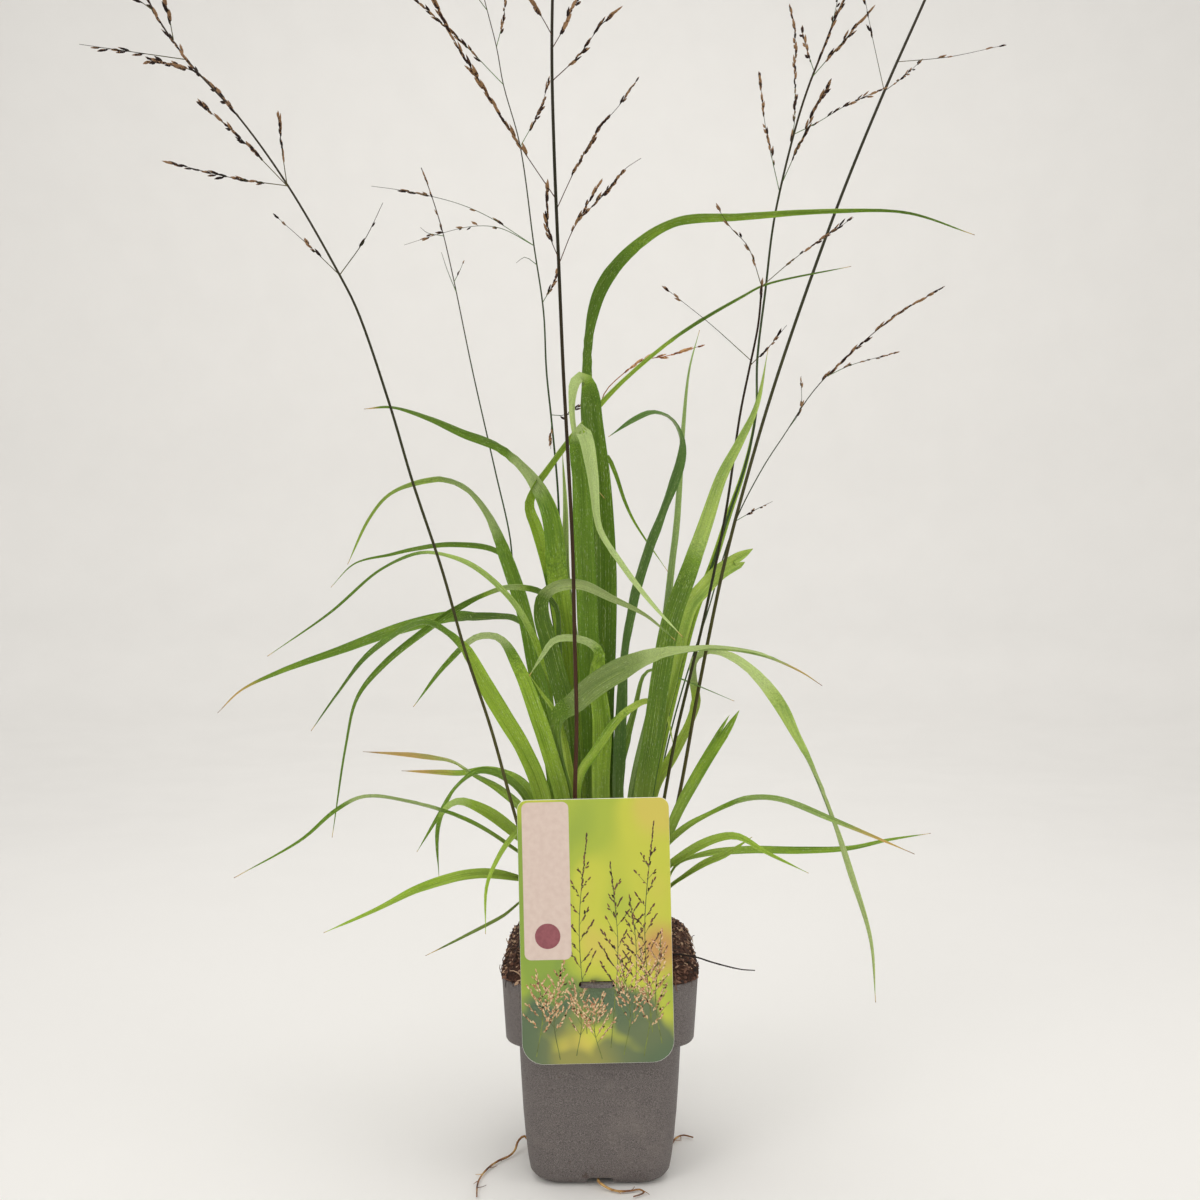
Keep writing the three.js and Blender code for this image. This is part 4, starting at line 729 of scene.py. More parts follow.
# Leafy shoots in the middle: the broadest blades stand nearly upright here, one folds over towards the front
# and to the right, and one tall narrow blade arches over the whole clump.
MIDDLE_SHOOTS = [
    {"name": "tuft_middle_left_tall", "foot": (-9, 7), "blades": [
        {"width": 12.6, "faces": [(0, 0.65, 0.1), (0.49, 0.5, 0.3), (0.62, 0.55, 0.85), (0.68, 0.4, 0)],
         "dry": 0.03, "taper": 1.1,
         "path": [(-13, 4, 210, 0), (-16, 5, 247, -20), (-20, 6, 304, 0), (-25, 7, 339, 0),
                  (-30, 9, 382, -10), (-41, 12, 404, -45), (-58, 16, 421, -60), (-86, 30, 434, -40),
                  (-108, 46, 445, -50), (-136, 69, 456, -60), (-157, 83, 457, 0)]},
        {"width": 7.4, "faces": [(0, 0, 0.1), (0.41, 1, 0), (0.51, 0.75, 0.1), (0.78, 0.2, 0)],
         "path": [(-12, 14, 208, 0), (-22, 16, 293, 5), (-30, 18, 342, 5), (-38.5, 18, 373, 5),
                  (-43.5, 16, 387, 45), (-41, 14, 396, 60), (-28, 12, 415, 64), (-12, 11, 435, 64),
                  (13, 10, 462, 70), (49, 7, 491, 70), (85, 5, 512, 65), (99, 4, 519, 75),
                  (149, -3, 528, 40)]},
        {"width": 8.2, "faces": [(0, 1, 0.6)],
         "path": [(-10, 10, 209, 30), (-17, 12, 306, 10), (-21, 14, 344, 0), (-21, 15, 385, 0),
                  (-23, 16, 421, 0)]},
    ]},
    {"name": "tuft_middle_folded", "foot": (-9, -13), "colour": "lightLeaf", "blades": [
        {"width": 11, "faces": [(0, 0, 0), (0.67, 0.1, 0.8), (0.96, 0.05, 0.3)],
         "path": [(-16, -17, 219, 10), (-17, -18, 245, 0), (-20, -19, 268, 0), (-25, -20, 288, 0),
                  (-30, -21, 307, 0), (-34, -22, 322, 10), (-33, -24, 332, 45), (-25, -28, 338, 35),
                  (-11, -33, 339, 30), (7, -42, 331, 35), (25, -52, 322, 55), (41, -64, 308, 45)]},
    ]},
    {"name": "tuft_middle_broad", "foot": (2, -5), "blades": [
        {"width": 18, "faces": [(0, 0.25, 0), (0.8, 1.15, 1)], "taper": 1.3,
         "path": [(0, -4, 213, 30), (-0.5, -3, 271, 20), (0.5, -2.5, 305, 10), (1, -2, 344, 0),
                  (-1, -1, 401, 0), (-4, 0, 434, 0), (-6, -1, 454, 10), (-10, -5, 461, 20),
                  (-14, -9, 458, 42), (-16, -11, 444, 65), (-14, -12.5, 425, 55), (-8, -13.5, 403, 60),
                  (3, -14, 389, 60)]},
        {"width": 12.4, "faces": [(0, 0.4, 0), (0.61, 0.65, 1), (0.85, 0.9, 0.8)], "taper": 0.95,
         "path": [(-3, -10, 219, 0), (-7, -14, 318, -10), (-9, -16, 362, -10), (-11, -18, 400, -30),
                  (-13, -21, 419, -40), (-11, -26, 427, -25), (-8, -33, 421, -12), (-4, -48, 396, -35),
                  (-1, -62, 370, -58), (11, -84, 349, -40), (27, -112, 327, -20), (40, -136, 312, -55)]},
    ]},
    {"name": "tuft_middle_bent_left", "foot": (5, -19), "blades": [
        {"width": 11.4, "faces": [(0, 0.6, 0), (0.76, 0.45, 1), (0.97, 0.7, 0.5)],
         "path": [(0, -20, 216, 30), (1, -22, 259, 0), (-2, -24, 287, 0), (-1, -26, 300, 35),
                  (-6, -28, 305, 60), (-15, -31, 308, 45), (-26, -34, 307, 25), (-33, -37, 298, 0),
                  (-40, -40, 287, 0)]},
    ]},
    {"name": "tuft_front_reaching_right", "foot": (-3, -29), "colour": "lightLeaf", "blades": [
        {"width": 13.4, "faces": [(0, 0.2, 0), (0.37, 0, 0.5), (0.55, 0.5, 0.9), (0.83, 0.4, 0.3)],
         "dry": 0.12, "taper": 0.75,
         "path": [(-17, -28, 216, -55), (-24, -31, 247, -60), (-23, -34, 264, -55), (-15, -38, 271, -30),
                  (-2, -46, 283, -5), (20, -62, 296, -30), (34, -74, 301, -62), (56, -95, 305, -80),
                  (76, -132, 304, -80), (90, -174, 298, -80), (96, -196, 293, -75)]},
        {"width": 6.2, "faces": [(0, 0.6, 0.2)],
         "path": [(-16, -24, 220, 20), (-25, -26, 264, 0), (-33, -27, 276, 0), (-41, -28, 288, 0)]},
        {"width": 6, "faces": [(0, 0.55, 0), (0.73, 1.1, 0)],
         "path": [(-13, -31, 219, -40), (-10, -32, 233, -30), (-3, -32, 243, -30), (10, -26, 261, -30),
                  (22, -13, 269, -25), (29, -3, 270, -25), (38, 6, 266, -10), (45, 12, 240, -10)]},
    ]},
    {"name": "tuft_back_tall_arch", "foot": (-2, 20), "blades": [
        {"width": 5, "faces": [(0, 0.55, 0)],
         "path": [(0, 13, 210, 0), (1, 15, 306, 15), (1, 17, 379, 0), (1, 18, 409, 0), (4, 17, 418, 25),
                  (9, 15, 408, 5), (15, 13, 390, 0), (21, 12, 377, 0), (41, 9, 347, 10)]},
        {"width": 10.8, "taper": 1.2, "faces": [(0, 0.35, 0.1), (0.55, 0.2, 0), (0.66, 0.55, 0),
                                                (0.91, 0.2, 0)],
         "path": [(-5, 22, 209, 0), (-7, 20, 306, 58), (-9, 22, 403, 62), (-9, 22, 465, 55),
                  (-7, 18, 494, 60), (0, 9, 517, 30), (15, -6, 534, 45), (41, -21, 548, 65),
                  (80, -46, 544, 62), (128, -68, 540, 70), (162, -83, 534, 75), (193, -97, 518, 60)]},
    ]},
]
plant(MIDDLE_SHOOTS)


# Leafy shoots at the right: upright dark blades, a broad bright one, a blade torn off short, a long blade
# that droops to the table and low narrow ones that reach out over the rim.
RIGHT_SHOOTS = [
    {"name": "tuft_right_dark", "foot": (12, 3), "colour": "darkLeaf", "blades": [
        {"width": 12, "faces": [(0, 0.4, 0)], "taper": 2.6, "dry": 0.004,
         "path": [(10, -2, 213, 50), (12, -3, 267, 55), (14, -4, 301, 70), (19, -5, 329, 60),
                  (28, -6, 360, 60), (38, -6, 386, 65), (47, -5, 412, 40), (48, -4, 427, 72),
                  (42, -4, 438, 86), (32, -5, 441, 60), (21, -6, 437, 15), (5, -9, 426, 10)]},
        {"width": 6, "faces": [(0, 1.15, 0), (0.78, 0.5, 0)], "taper": 0.5,
         "path": [(8, 6, 212, -25), (13, 7, 236, 0), (21, 9, 264, -20), (27, 12, 285, -25),
                  (33, 12, 288, -55), (47, 11, 283, -60), (62, 9, 277, -50), (81, 9, 269, -50)]},
    ]},
    {"name": "tuft_right_upright", "foot": (14, 14), "colour": "darkLeaf", "blades": [
        {"width": 5.6, "faces": [(0, 0.65, 0.5)],
         "path": [(19, 16, 210, 0), (32, 18, 269, 30), (40, 20, 318, 30), (44, 20, 354, 35),
                  (47, 20, 379, 25), (51, 20, 437, 20), (55, 25, 472, 25), (62, 32, 498, 0)]},
    ]},
    {"name": "tuft_right_broad", "foot": (19, -10), "colour": "lightLeaf", "blades": [
        {"width": 12, "faces": [(0, 0.1, 0), (0.6, 0.55, 0.45)], "taper": 1.2,
         "path": [(25, -16, 215, 0), (30, -18, 249, 15), (35, -19, 286, 15), (41, -19, 318, 15),
                  (52, -17, 348, 10), (62, -14, 376, 10), (71, -12, 402, 10), (82, -10, 423, 10),
                  (92, -8, 444, 20), (100, -1, 479, 65)]},
        {"width": 10, "faces": [(0, 0.6, 0.35)], "torn": [(0.35, 0.65, 0), (-0.6, 0.4, 11)], "dry": NEVER_DRY,
         "path": [(28, -8, 214, -60), (37, -6, 259, -50), (46, 0, 300, -20), (54, 7, 327, 0),
                  (62, 14, 336, 0), (68, 22, 342, 0), (75, 30, 348, 0), (98, 48, 361, 0)]},
    ]},
    {"name": "tuft_right_cut", "foot": (32, -25), "blades": [
        {"width": 6.9, "faces": [(0, 0.55, 0)], "torn": [(-0.3, 0.68, 0), (0.66, 0.33, 5)], "dry": NEVER_DRY,
         "path": [(34, -26, 181, 30), (42, -27, 204, 20), (57, -28, 232, 0), (78, -35, 268, 0)]},
    ]},
    {"name": "tuft_right_long_droop", "foot": (32, 24), "colour": "lightLeaf", "blades": [
        {"width": 8.6, "faces": [(0, 1.15, 0), (0.34, 0.5, 0.8), (0.4, 1, 0.9), (0.52, 0.55, 0.45),
                                 (0.67, 0.1, 0.8)],
         "path": [(34, 27, 212, -40), (45, 27, 233, -40), (56, 27, 254, -65), (60, 28, 268, -45),
                  (58, 27, 283, -65), (59, 26, 293, -65), (67, 24, 298, -70), (80, 20, 295, -55),
                  (94, 15, 285, -45), (107, 4, 268, -5), (115, -5, 251, -40), (124, -17, 231, -70),
                  (132, -30, 207, -65), (141, -43, 175, -20), (149, -54, 143, -20), (150, -62, 111, -20)]},
    ]},
    {"name": "tuft_right_low", "foot": (36, -8), "blades": [
        {"width": 4.6, "faces": [(0, 0.55, 0)], "dry": 0.04,
         "path": [(45, 2, 171, -15), (62, 6, 177, -35), (88, 15, 178, -15), (126, 33, 174, -15),
                  (159, 49, 172, -45), (187, 61, 175, -15), (217, 72, 177, -15)]},
        {"width": 5.8, "faces": [(0, 1.1, 0)],
         "path": [(39, -12, 160, 0), (51, -14, 170, -15), (62, -15, 177, -15), (73, -17, 182, -20),
                  (88, -21, 193, -10)]},
    ]},
    {"name": "tuft_right_front_low", "foot": (22, -32), "blades": [
        {"width": 5, "faces": [(0, 0.55, 0), (0.46, 0.45, 0.5)], "dry": 0.15,
         "path": [(34, -36, 186, -30), (47, -40, 201, -55), (62, -46, 211, -80), (80, -58, 221, -65),
                  (96, -71, 223, -65), (119, -95, 217, -15), (140, -111, 210, -10), (156, -120, 204, 0)]},
        {"width": 5.8, "faces": [(0, 1.05, 0)],
         "path": [(34, -34, 174, -25), (48, -36, 186, -15), (66, -41, 196, -55), (77, -46, 198, -40),
                  (91, -53, 191, -55), (113, -65, 182, -55)]},
    ]},
]
plant(RIGHT_SHOOTS)


# Flowering culms: nine smooth, wiry, nearly leafless stems, 2 to 3 mm thick at the foot, that stand far above
# the leaves. Each ends in an open panicle of hair-fine branches set with small pointed spikelets of two or
# three florets, purple-brown when young and straw-coloured as they ripen.
CULM_FOOT = {"low": 117, "high": 139, "low radius": 1.7, "high radius": 1.5}
BRANCH_RADIUS = (0.26, 0.12)
CULM_STEP, BRANCH_STEP = 6, 4
BRANCH_BARE, NO_SPIKELETS = 0.2, 2  # the share of the length from which a line bears spikelets
CULM_COLUMNS = ["radius", "share", "bare", "rich"]

# A branch's points run from the stem outwards. "radii" are the stem's at its foot and its tip, and "richness"
# says how thickly each branch is set.
CULMS = [
    {"name": "culm_left_tall", "foot": (-27, -35), "colour": "culm", "seed": 11, "head from": 0.8,
     "radii": (1.02, 0.38), "richness": [0.15, 0.7, 0.75, 1, 0.65, 2, 1.4, 0.55, 2, 2.4, 1.2, 1.2],
     "stem": [
         (-47, -42, 207), (-60, -54, 259), (-73, -67, 303), (-84, -77, 346), (-98, -88, 392),
         (-108, -98, 430), (-124, -102, 478), (-133, -102, 496), (-159, -102, 541), (-184, -102, 576),
         (-211, -102, 606), (-228, -102, 631), (-238, -99, 654), (-244, -95, 672)],
     "branches": [
         [(-133, -102, 496), (-117, -117, 510), (-106, -129, 524)],
         [(-133, -102, 496), (-152, -89, 515), (-170, -77, 532)],
         [(-159.3, -102, 541.5), (-180, -123, 538), (-202, -142, 538)],
         [(-159.7, -102.4, 541.4), (-186, -92, 569), (-213, -80, 594)],
         [(-159.7, -102.4, 541.4), (-160, -111, 556), (-159, -123, 570)],
         [(-184, -102, 576), (-195, -92, 590), (-204, -86, 600)],
         [(-196.8, -102, 590.2), (-210, -92, 604), (-242, -74, 619)],
         [(-211, -102, 606), (-232, -117, 603), (-253, -132, 600)],
         [(-217.9, -102, 616.1), (-217, -111, 624), (-217, -120, 632)],
         [(-228, -102, 631), (-234, -111, 633), (-242, -120, 634)],
         [(-232.8, -100.5, 642.1), (-233, -89, 663), (-233, -80, 682)],
         [(-238, -99, 654), (-249, -92, 666), (-263, -83, 676)],
     ]},
    {"name": "culm_left_thin", "foot": (-16, 30), "colour": "greenCulm", "seed": 12, "head from": 0.9,
     "radii": (0.72, 0.3), "richness": [0.2, 0.15, 0.35],
     "stem": [
         (-34, 34, 268), (-53, 40, 336), (-57, 42, 371), (-66, 46, 410), (-83, 67, 479), (-100, 95, 552),
         (-108, 101, 584), (-116, 103, 609), (-122, 104, 625)],
     "branches": [
         [(-96.4, 89.1, 536.5), (-101, 81, 548), (-104, 72, 558)],
         [(-98.1, 91.9, 544), (-96, 104, 554), (-94, 115, 565)],
         [(-106.3, 99.7, 577.2), (-115, 86, 575), (-118, 74, 575)],
     ]},
    {"name": "culm_middle_green", "foot": (-6, 33), "colour": "greenCulm", "seed": 13, "head from": 0.94,
     "radii": (1, 0.2), "richness": [0.95, 1, 0.9, 1.5, 0.45, 0.35, 0.25, 1.8, 0.6, 1.1, 0.8, 0.8],
     "stem": [
         (-17, 30, 268), (-24, 28, 336), (-26, 26, 397), (-30, 24, 442), (-33, 25, 471), (-35, 28, 509),
         (-41, 30, 550), (-50, 32, 614), (-60, 30, 650), (-64, 27, 672), (-71, 23, 699), (-77, 19, 725),
         (-81, 17, 748)],
     "branches": [
         [(-60, 30, 650), (-84, 11, 668), (-109, -6, 685), (-118, -12, 692)],
         [(-64, 27, 672), (-61, 38, 693), (-59, 49, 721)],
         [(-69.5, 23.9, 693.1), (-76, 11, 697), (-82, 0, 701)],
         [(-49.7, 31.9, 612), (-38, 48, 642), (-33, 57, 664)],
         [(-41, 30, 550), (-68, 14, 563), (-87, 0, 567), (-116, -15, 569), (-132, -22, 569)],
         [(-41, 30, 550), (-63, 47, 566), (-82, 62, 572), (-107, 76, 571), (-129, 76, 564)],
         [(-39.2, 29.4, 537.9), (-46, 20, 540), (-51, 15, 535)],
         [(-35.7, 28.2, 513.9), (-29, 38, 529), (-28, 42, 535)],
         [(-30.2, 24, 444), (-22, 31, 445), (-15, 37, 450)],
         [(-29.8, 24, 440), (-30, 20, 431), (-30, 16, 422)],
         [(-75.6, 19.9, 719.1), (-87, 4, 727), (-95, -6, 739)],
         [(-77.9, 18.6, 730), (-72, 30, 755), (-69, 38, 777)],
     ]},
    {"name": "culm_middle_dark", "foot": (-14, -39), "colour": "brownCulm", "seed": 14, "head from": 0.9,
     "radii": (1.25, 0.62), "richness": [2.6, 2.6, 1.2, 1.9, 0.9, 1.15, 2.2, 2, 0.9, 1.6, 1.6, 1.4, 1.2, 1,
                                         1],
     "stem": [
         (-14, -45, 220), (-13, -49, 262), (-14, -53, 308), (-15, -56, 357), (-18, -58, 417), (-20, -62, 455),
         (-22, -75, 509), (-24, -88, 565), (-25, -92, 615), (-24, -91, 668), (-22, -89, 721), (-21, -86, 770),
         (-20, -85, 803)],
     "branches": [
         [(-24.8, -91.8, 623), (-30, -105, 627), (-37, -117, 632), (-46, -126, 641)],
         [(-25, -92, 616), (-19, -80, 633), (-16, -71, 646), (-9, -62, 660)],
         [(-24.7, -90.8, 600.1), (-11, -102, 608), (1, -111, 620), (6, -114, 623)],
         [(-23.1, -82.5, 541.2), (-42, -101, 564), (-56, -117, 582), (-68, -129, 598), (-80, -142, 617)],
         [(-23, -81.3, 536.2), (-12, -75, 562), (-1, -69, 583), (11, -64, 599), (19, -58, 613)],
         [(-22, -75, 509), (-12, -94, 525), (1, -108, 534), (12, -124, 542), (20, -131, 545)],
         [(-22.1, -75.7, 512.1), (-27, -87, 523), (-27, -100, 537)],
         [(-12, -75, 562), (-9, -88, 562), (-5, -97, 564)],
         [(-12, -94, 525), (-7, -88, 536), (-2, -84, 546)],
         [(-23.8, -90.8, 673), (-11, -80, 701), (2, -71, 732)],
         [(-23.8, -90.8, 673), (-37, -102, 688), (-51, -111, 708)],
         [(-22.4, -89.4, 711), (-13, -99, 727), (-6, -108, 742)],
         [(-22.4, -89.4, 711), (-32, -80, 737), (-40, -71, 765)],
         [(-21.4, -87.3, 748), (-16, -80, 773), (-11, -74, 797)],
         [(-21.4, -87.3, 748), (-27, -95, 764), (-30, -102, 779)],
     ]},
    {"name": "culm_right_tall", "foot": (30, 10), "colour": "culm", "seed": 15, "head from": 0.9,
     "radii": (1.15, 0.85), "richness": [0.2, 0.75, 0.33, 0.9, 0.9, 0.9, 0.9, 0.9, 0.9, 0.9, 0.9],
     "stem": [
         (47, 12, 207), (60, 15, 276), (76, 21, 351), (91, 28, 406), (114, 49, 476), (156, 72, 589),
         (190, 87, 670), (221, 103, 738), (251, 118, 806), (274, 129, 862), (292, 137, 909)],
     "branches": [
         [(190, 87, 670), (180, 76, 699), (171, 65, 727)],
         [(190, 87, 670), (206, 99, 685), (220, 110, 700)],
         [(200, 92.2, 692), (230, 76, 688), (260, 65, 690)],
         [(221, 103, 738), (219, 118, 781), (211, 129, 823)],
         [(221, 103, 738), (240, 87, 752), (262, 72, 764)],
         [(239, 112, 779), (272, 122, 811), (307, 133, 839)],
         [(239, 112, 779), (229, 99, 809), (218, 87, 832)],
         [(258.5, 121.6, 824.3), (278, 108, 844), (298, 99, 866)],
         [(258.5, 121.6, 824.3), (258, 133, 867), (256, 144, 907)],
         [(275.2, 129.5, 865), (297, 141, 900), (320, 152, 934)],
         [(275.2, 129.5, 865), (269, 118, 888), (264, 110, 908)],
     ]},
    {"name": "culm_right_dark", "foot": (25, 1), "colour": "culm", "seed": 16, "head from": 0.97,
     "radii": (1.15, 0.62), "richness": [0.22, 0.65, 0.55, 0.55],
     "stem": [
         (38, 3, 209), (45, 3, 247), (54, 3, 285), (62, 3, 318), (75, 3, 381), (84, 3, 442), (89, -3, 469),
         (93, -10, 492), (94, -18, 513)],
     "branches": [
         [(89.5, -3.9, 471.9), (64, -16, 491), (41, -27, 506)],
         [(89, -3, 469), (99, -19, 478), (106, -34, 486)],
         [(94, -17.7, 512.1), (84, -33, 531), (74, -42, 538), (65, -51, 547)],
         [(94, -17.8, 512.2), (116, -9, 532), (151, 0, 558)],
     ]},
    {"name": "culm_right_green", "foot": (21, 20), "colour": "greenCulm", "seed": 17, "head from": 0.86,
     "radii": (0.95, 0.62), "richness": [1.3, 1.3, 1.9, 0.45, 1.4, 1.1, 0.9, 1.2, 1.2],
     "blade": {"width": 5.6, "path": [
         (36, 23, 232, 10), (47, 26, 279, 20), (58, 29, 321, 10), (70, 32, 352, 0), (80, 35, 382, 0),
         (91, 38, 414, 0), (97, 40, 442, 30), (99, 40, 473, 50)]},
     "stem": [
         (36, 23, 232), (47, 26, 279), (58, 29, 321), (70, 32, 352), (80, 35, 382), (91, 38, 414),
         (98, 40, 446), (99, 40, 482), (103, 33, 522), (108, 27, 567), (120, 15, 621), (127, 10, 643),
         (133, 8, 658), (142, 4, 681), (148, 0, 693), (156, -3, 721)],
     "branches": [
         [(110.9, 24.1, 579.8), (104, 38, 626), (102, 49, 660)],
         [(112.6, 22.4, 587.7), (122, 38, 630), (124, 49, 664), (126, 61, 697), (124, 65, 713)],
         [(112.7, 22.5, 588), (119, 0, 602), (127, -15, 619), (130, -25, 624)],
         [(118.4, 16.6, 614), (134, 27, 625), (156, 34, 640), (178, 38, 651)],
         [(128.2, 9.6, 645.9), (141, -6, 657), (154, -18, 669)],
         [(129.3, 9.2, 648.8), (127, 23, 669), (126, 34, 685)],
         [(137.7, 5.9, 670.1), (143, 15, 688), (148, 23, 708)],
         [(147.2, 0.6, 691.3), (156, -12, 705), (165, -22, 715)],
         [(147.3, 0.4, 691.5), (144, 15, 721), (143, 27, 746)],
     ]},
    {"name": "culm_right_thin", "foot": (24, 33), "colour": "greenCulm", "seed": 18, "head from": 0.8,
     "radii": (0.6, 0.22), "richness": [0.5, 0.45, 0.45],
     "stem": [
         (40, 34, 230), (53, 36, 279), (68, 38, 324), (78, 41, 358), (87, 43, 383), (104, 47, 415),
         (118, 51, 436), (136, 52, 463), (154, 46, 482), (184, 34, 507), (208, 27, 521)],
     "branches": [
         [(85.9, 42.8, 380), (100, 53, 388), (112, 64, 394)],
         [(119.2, 51.1, 437.8), (130, 63, 454), (132, 73, 477)],
         [(145.2, 48.9, 472.8), (164, 65, 483), (193, 80, 493)],
     ]},
    {"name": "culm_short_orange", "foot": (4, 29), "colour": "orangeCulm", "seed": 19, "head from": 0.83,
     "radii": (0.66, 0.25), "richness": [],
     "stem": [
         (2, 29, 268), (1, 30, 355), (-1, 30, 429), (2, 31, 457), (14, 35, 471), (28, 38, 481), (39, 41, 483),
         (61, 50, 491)],
     "branches": []},
]


def tube_line(rows, radii, step, bare, rich):
    """A line for the culm rule: place, radius, share of the length, where spikelets start and how many."""
    even = smooth(rows, step)
    last = len(even) - 1
    return [[*row[:3], radii[0] + (radii[1] - radii[0]) * i / last, i / last, bare, rich]
            for i, row in enumerate(even)]


# The rule sweeps a round rod along every line and sets spikelets along it from the given share of its length:
# turned to the left and right in turn, leaning towards the tip, each on a short stalk.
culm_rule, given = new_rule("Grass culm with its panicle", {
    "Sides": 8, "Spikelet Spacing mm": 2.0, "Spikelet Length mm": 7.0, "Spikelet Radius": 0.1, "Lean": 0.27,
    "Bunch mm": 11.0, "Seed": 1, "Stem Skin": None, "Spikelet Skin": None})
rule = culm_rule
line = add(rule, "GeometryNodeMeshToCurve", given["Geometry"])
named = {}
for column in CULM_COLUMNS:
    named[column] = add(rule, "GeometryNodeInputNamedAttribute", Name=column, data_type="FLOAT")
# Random numbers, each with its own seed, for a spikelet's chance to be there, its turn, lean, size and shade.
draws = []
for shift, least, most in ((170, 0.0, 1.0), (0, -0.8, 0.8), (50, 0.35, 1.7), (90, 0.72, 1.15),
                           (130, 0.0, 1.0)):
    seed = add(rule, "Math ADD", given["Seed"], float(shift))
    draws.append(add(rule, "FunctionNodeRandomValue", {2: least, 3: most}, Seed=seed, out=1))
luck, stray, some, size, tone = draws
radius = add(rule, "Math MULTIPLY", named["radius"], MM)
ring = add(rule, "GeometryNodeCurvePrimitiveCircle", Resolution=given["Sides"], Radius=1.0, mode="RADIUS")
stem = add(rule, "GeometryNodeCurveToMesh", line, ring, Scale=radius, Fill_Caps=True)
stem = add(rule, "GeometryNodeSetMaterial", stem, Material=given["Stem Skin"])
spacing = add(rule, "Math MULTIPLY", given["Spikelet Spacing mm"], MM)
seats = add(rule, "GeometryNodeResampleCurve", Curve=line, Length=spacing, mode="LENGTH")
bearing = add(rule, "FunctionNodeCompare GREATER_THAN", named["share"], named["bare"])
middle = add(rule, "GeometryNodeInputPosition")
bunch = add(rule, "Math MULTIPLY", given["Bunch mm"], MM)
bunch = add(rule, "Math DIVIDE", 1.0, bunch)
bunch = add(rule, "TexNoise", Vector=middle, Scale=bunch, Detail=0.0)
bunch = add(rule, "MapRange", bunch, 0.38, 0.6, 0.3, 1.2)
chance = add(rule, "Math MULTIPLY", named["rich"], bunch)
lucky = add(rule, "FunctionNodeCompare LESS_THAN", luck, chance)
bearing = add(rule, "FunctionNodeBooleanMath AND", bearing, lucky)
index = add(rule, "GeometryNodeInputIndex")
direction = add(rule, "GeometryNodeInputTangent")
along = add(rule, "FunctionNodeAlignRotationToVector", Vector=direction, axis="Z")
odd = add(rule, "Math MODULO", index, 2.0)
spin = add(rule, "Math MULTIPLY_ADD", odd, math.pi, stray)
lean = add(rule, "Math MULTIPLY", given["Lean"], some)
at_tip = add(rule, "MapRange", named["share"], 0.93, 1.0, 1.0, 0.1)
lean = add(rule, "Math MULTIPLY", lean, at_tip)
turned = add(rule, "CombineXYZ", {0: lean, 2: spin})
turned = add(rule, "FunctionNodeEulerToRotation", turned)
facing = add(rule, "FunctionNodeRotateRotation", along, turned, rotation_space="LOCAL")
size = add(rule, "Math MULTIPLY", size, given["Spikelet Length mm"])
size = add(rule, "Math MULTIPLY", size, MM)
fuller = add(rule, "MapRange", named["rich"], 0.0, 2.5, 0.9, 1.25)
size = add(rule, "Math MULTIPLY", size, fuller)

# One floret: a slim pointed husk, 1 long, four-sided; three of them overlap on a thread-like stalk.
husk = add(rule, "GeometryNodeCurvePrimitiveLine", Start=(0, 0, 0), End=(0, 0, 1))
husk = add(rule, "GeometryNodeResampleCurve", Curve=husk, Count=5, mode="COUNT")
place = add(rule, "GeometryNodeSplineParameter")
swell = add(rule, "Math POWER", place, 0.7)
swell = add(rule, "Math MULTIPLY", swell, math.pi)
swell = add(rule, "Math SINE", swell)
swell = add(rule, "Math MULTIPLY_ADD", swell, 0.97, 0.03)
swell = add(rule, "Math MULTIPLY", swell, given["Spikelet Radius"])
four = add(rule, "GeometryNodeCurvePrimitiveCircle", Resolution=4, Radius=1.0, mode="RADIUS")
husk = add(rule, "GeometryNodeCurveToMesh", husk, four, Scale=swell, Fill_Caps=True)
thread = add(rule, "GeometryNodeCurvePrimitiveLine", Start=(0, 0, 0), End=(0, 0, 0.3))
three = add(rule, "GeometryNodeCurvePrimitiveCircle", Resolution=3, Radius=0.022, mode="RADIUS")
thread = add(rule, "GeometryNodeCurveToMesh", thread, three, Fill_Caps=True)
parts = [thread]
for low, tilt, long in ((0.16, 0.16, 0.56), (0.30, -0.2, 0.52), (0.42, 0.02, 0.58)):
    parts.append(add(rule, "GeometryNodeTransform", husk, Translation=(0, 0, low),
                     Rotation=(tilt, 0, low * 3), Scale=(long * 1.5, long * 1.5, long)))
spikelet = add(rule, "GeometryNodeJoinGeometry", parts)
level = add(rule, "SeparateXYZ", middle, out="Z")
spikelet = add(rule, "GeometryNodeStoreNamedAttribute", Geometry=spikelet, Name="level", Value=level,
               data_type="FLOAT", domain="POINT")
heads = add(rule, "GeometryNodeInstanceOnPoints", Points=seats, Selection=bearing, Instance=spikelet,
            Rotation=facing, Scale=size)
heads = add(rule, "GeometryNodeStoreNamedAttribute", Geometry=heads, Name="tone", Value=tone,
            data_type="FLOAT", domain="INSTANCE")
heads = add(rule, "GeometryNodeRealizeInstances", heads)
heads = add(rule, "GeometryNodeSetMaterial", heads, Material=given["Spikelet Skin"])
add(rule, "NodeGroupOutput", add(rule, "GeometryNodeJoinGeometry", [stem, heads]))


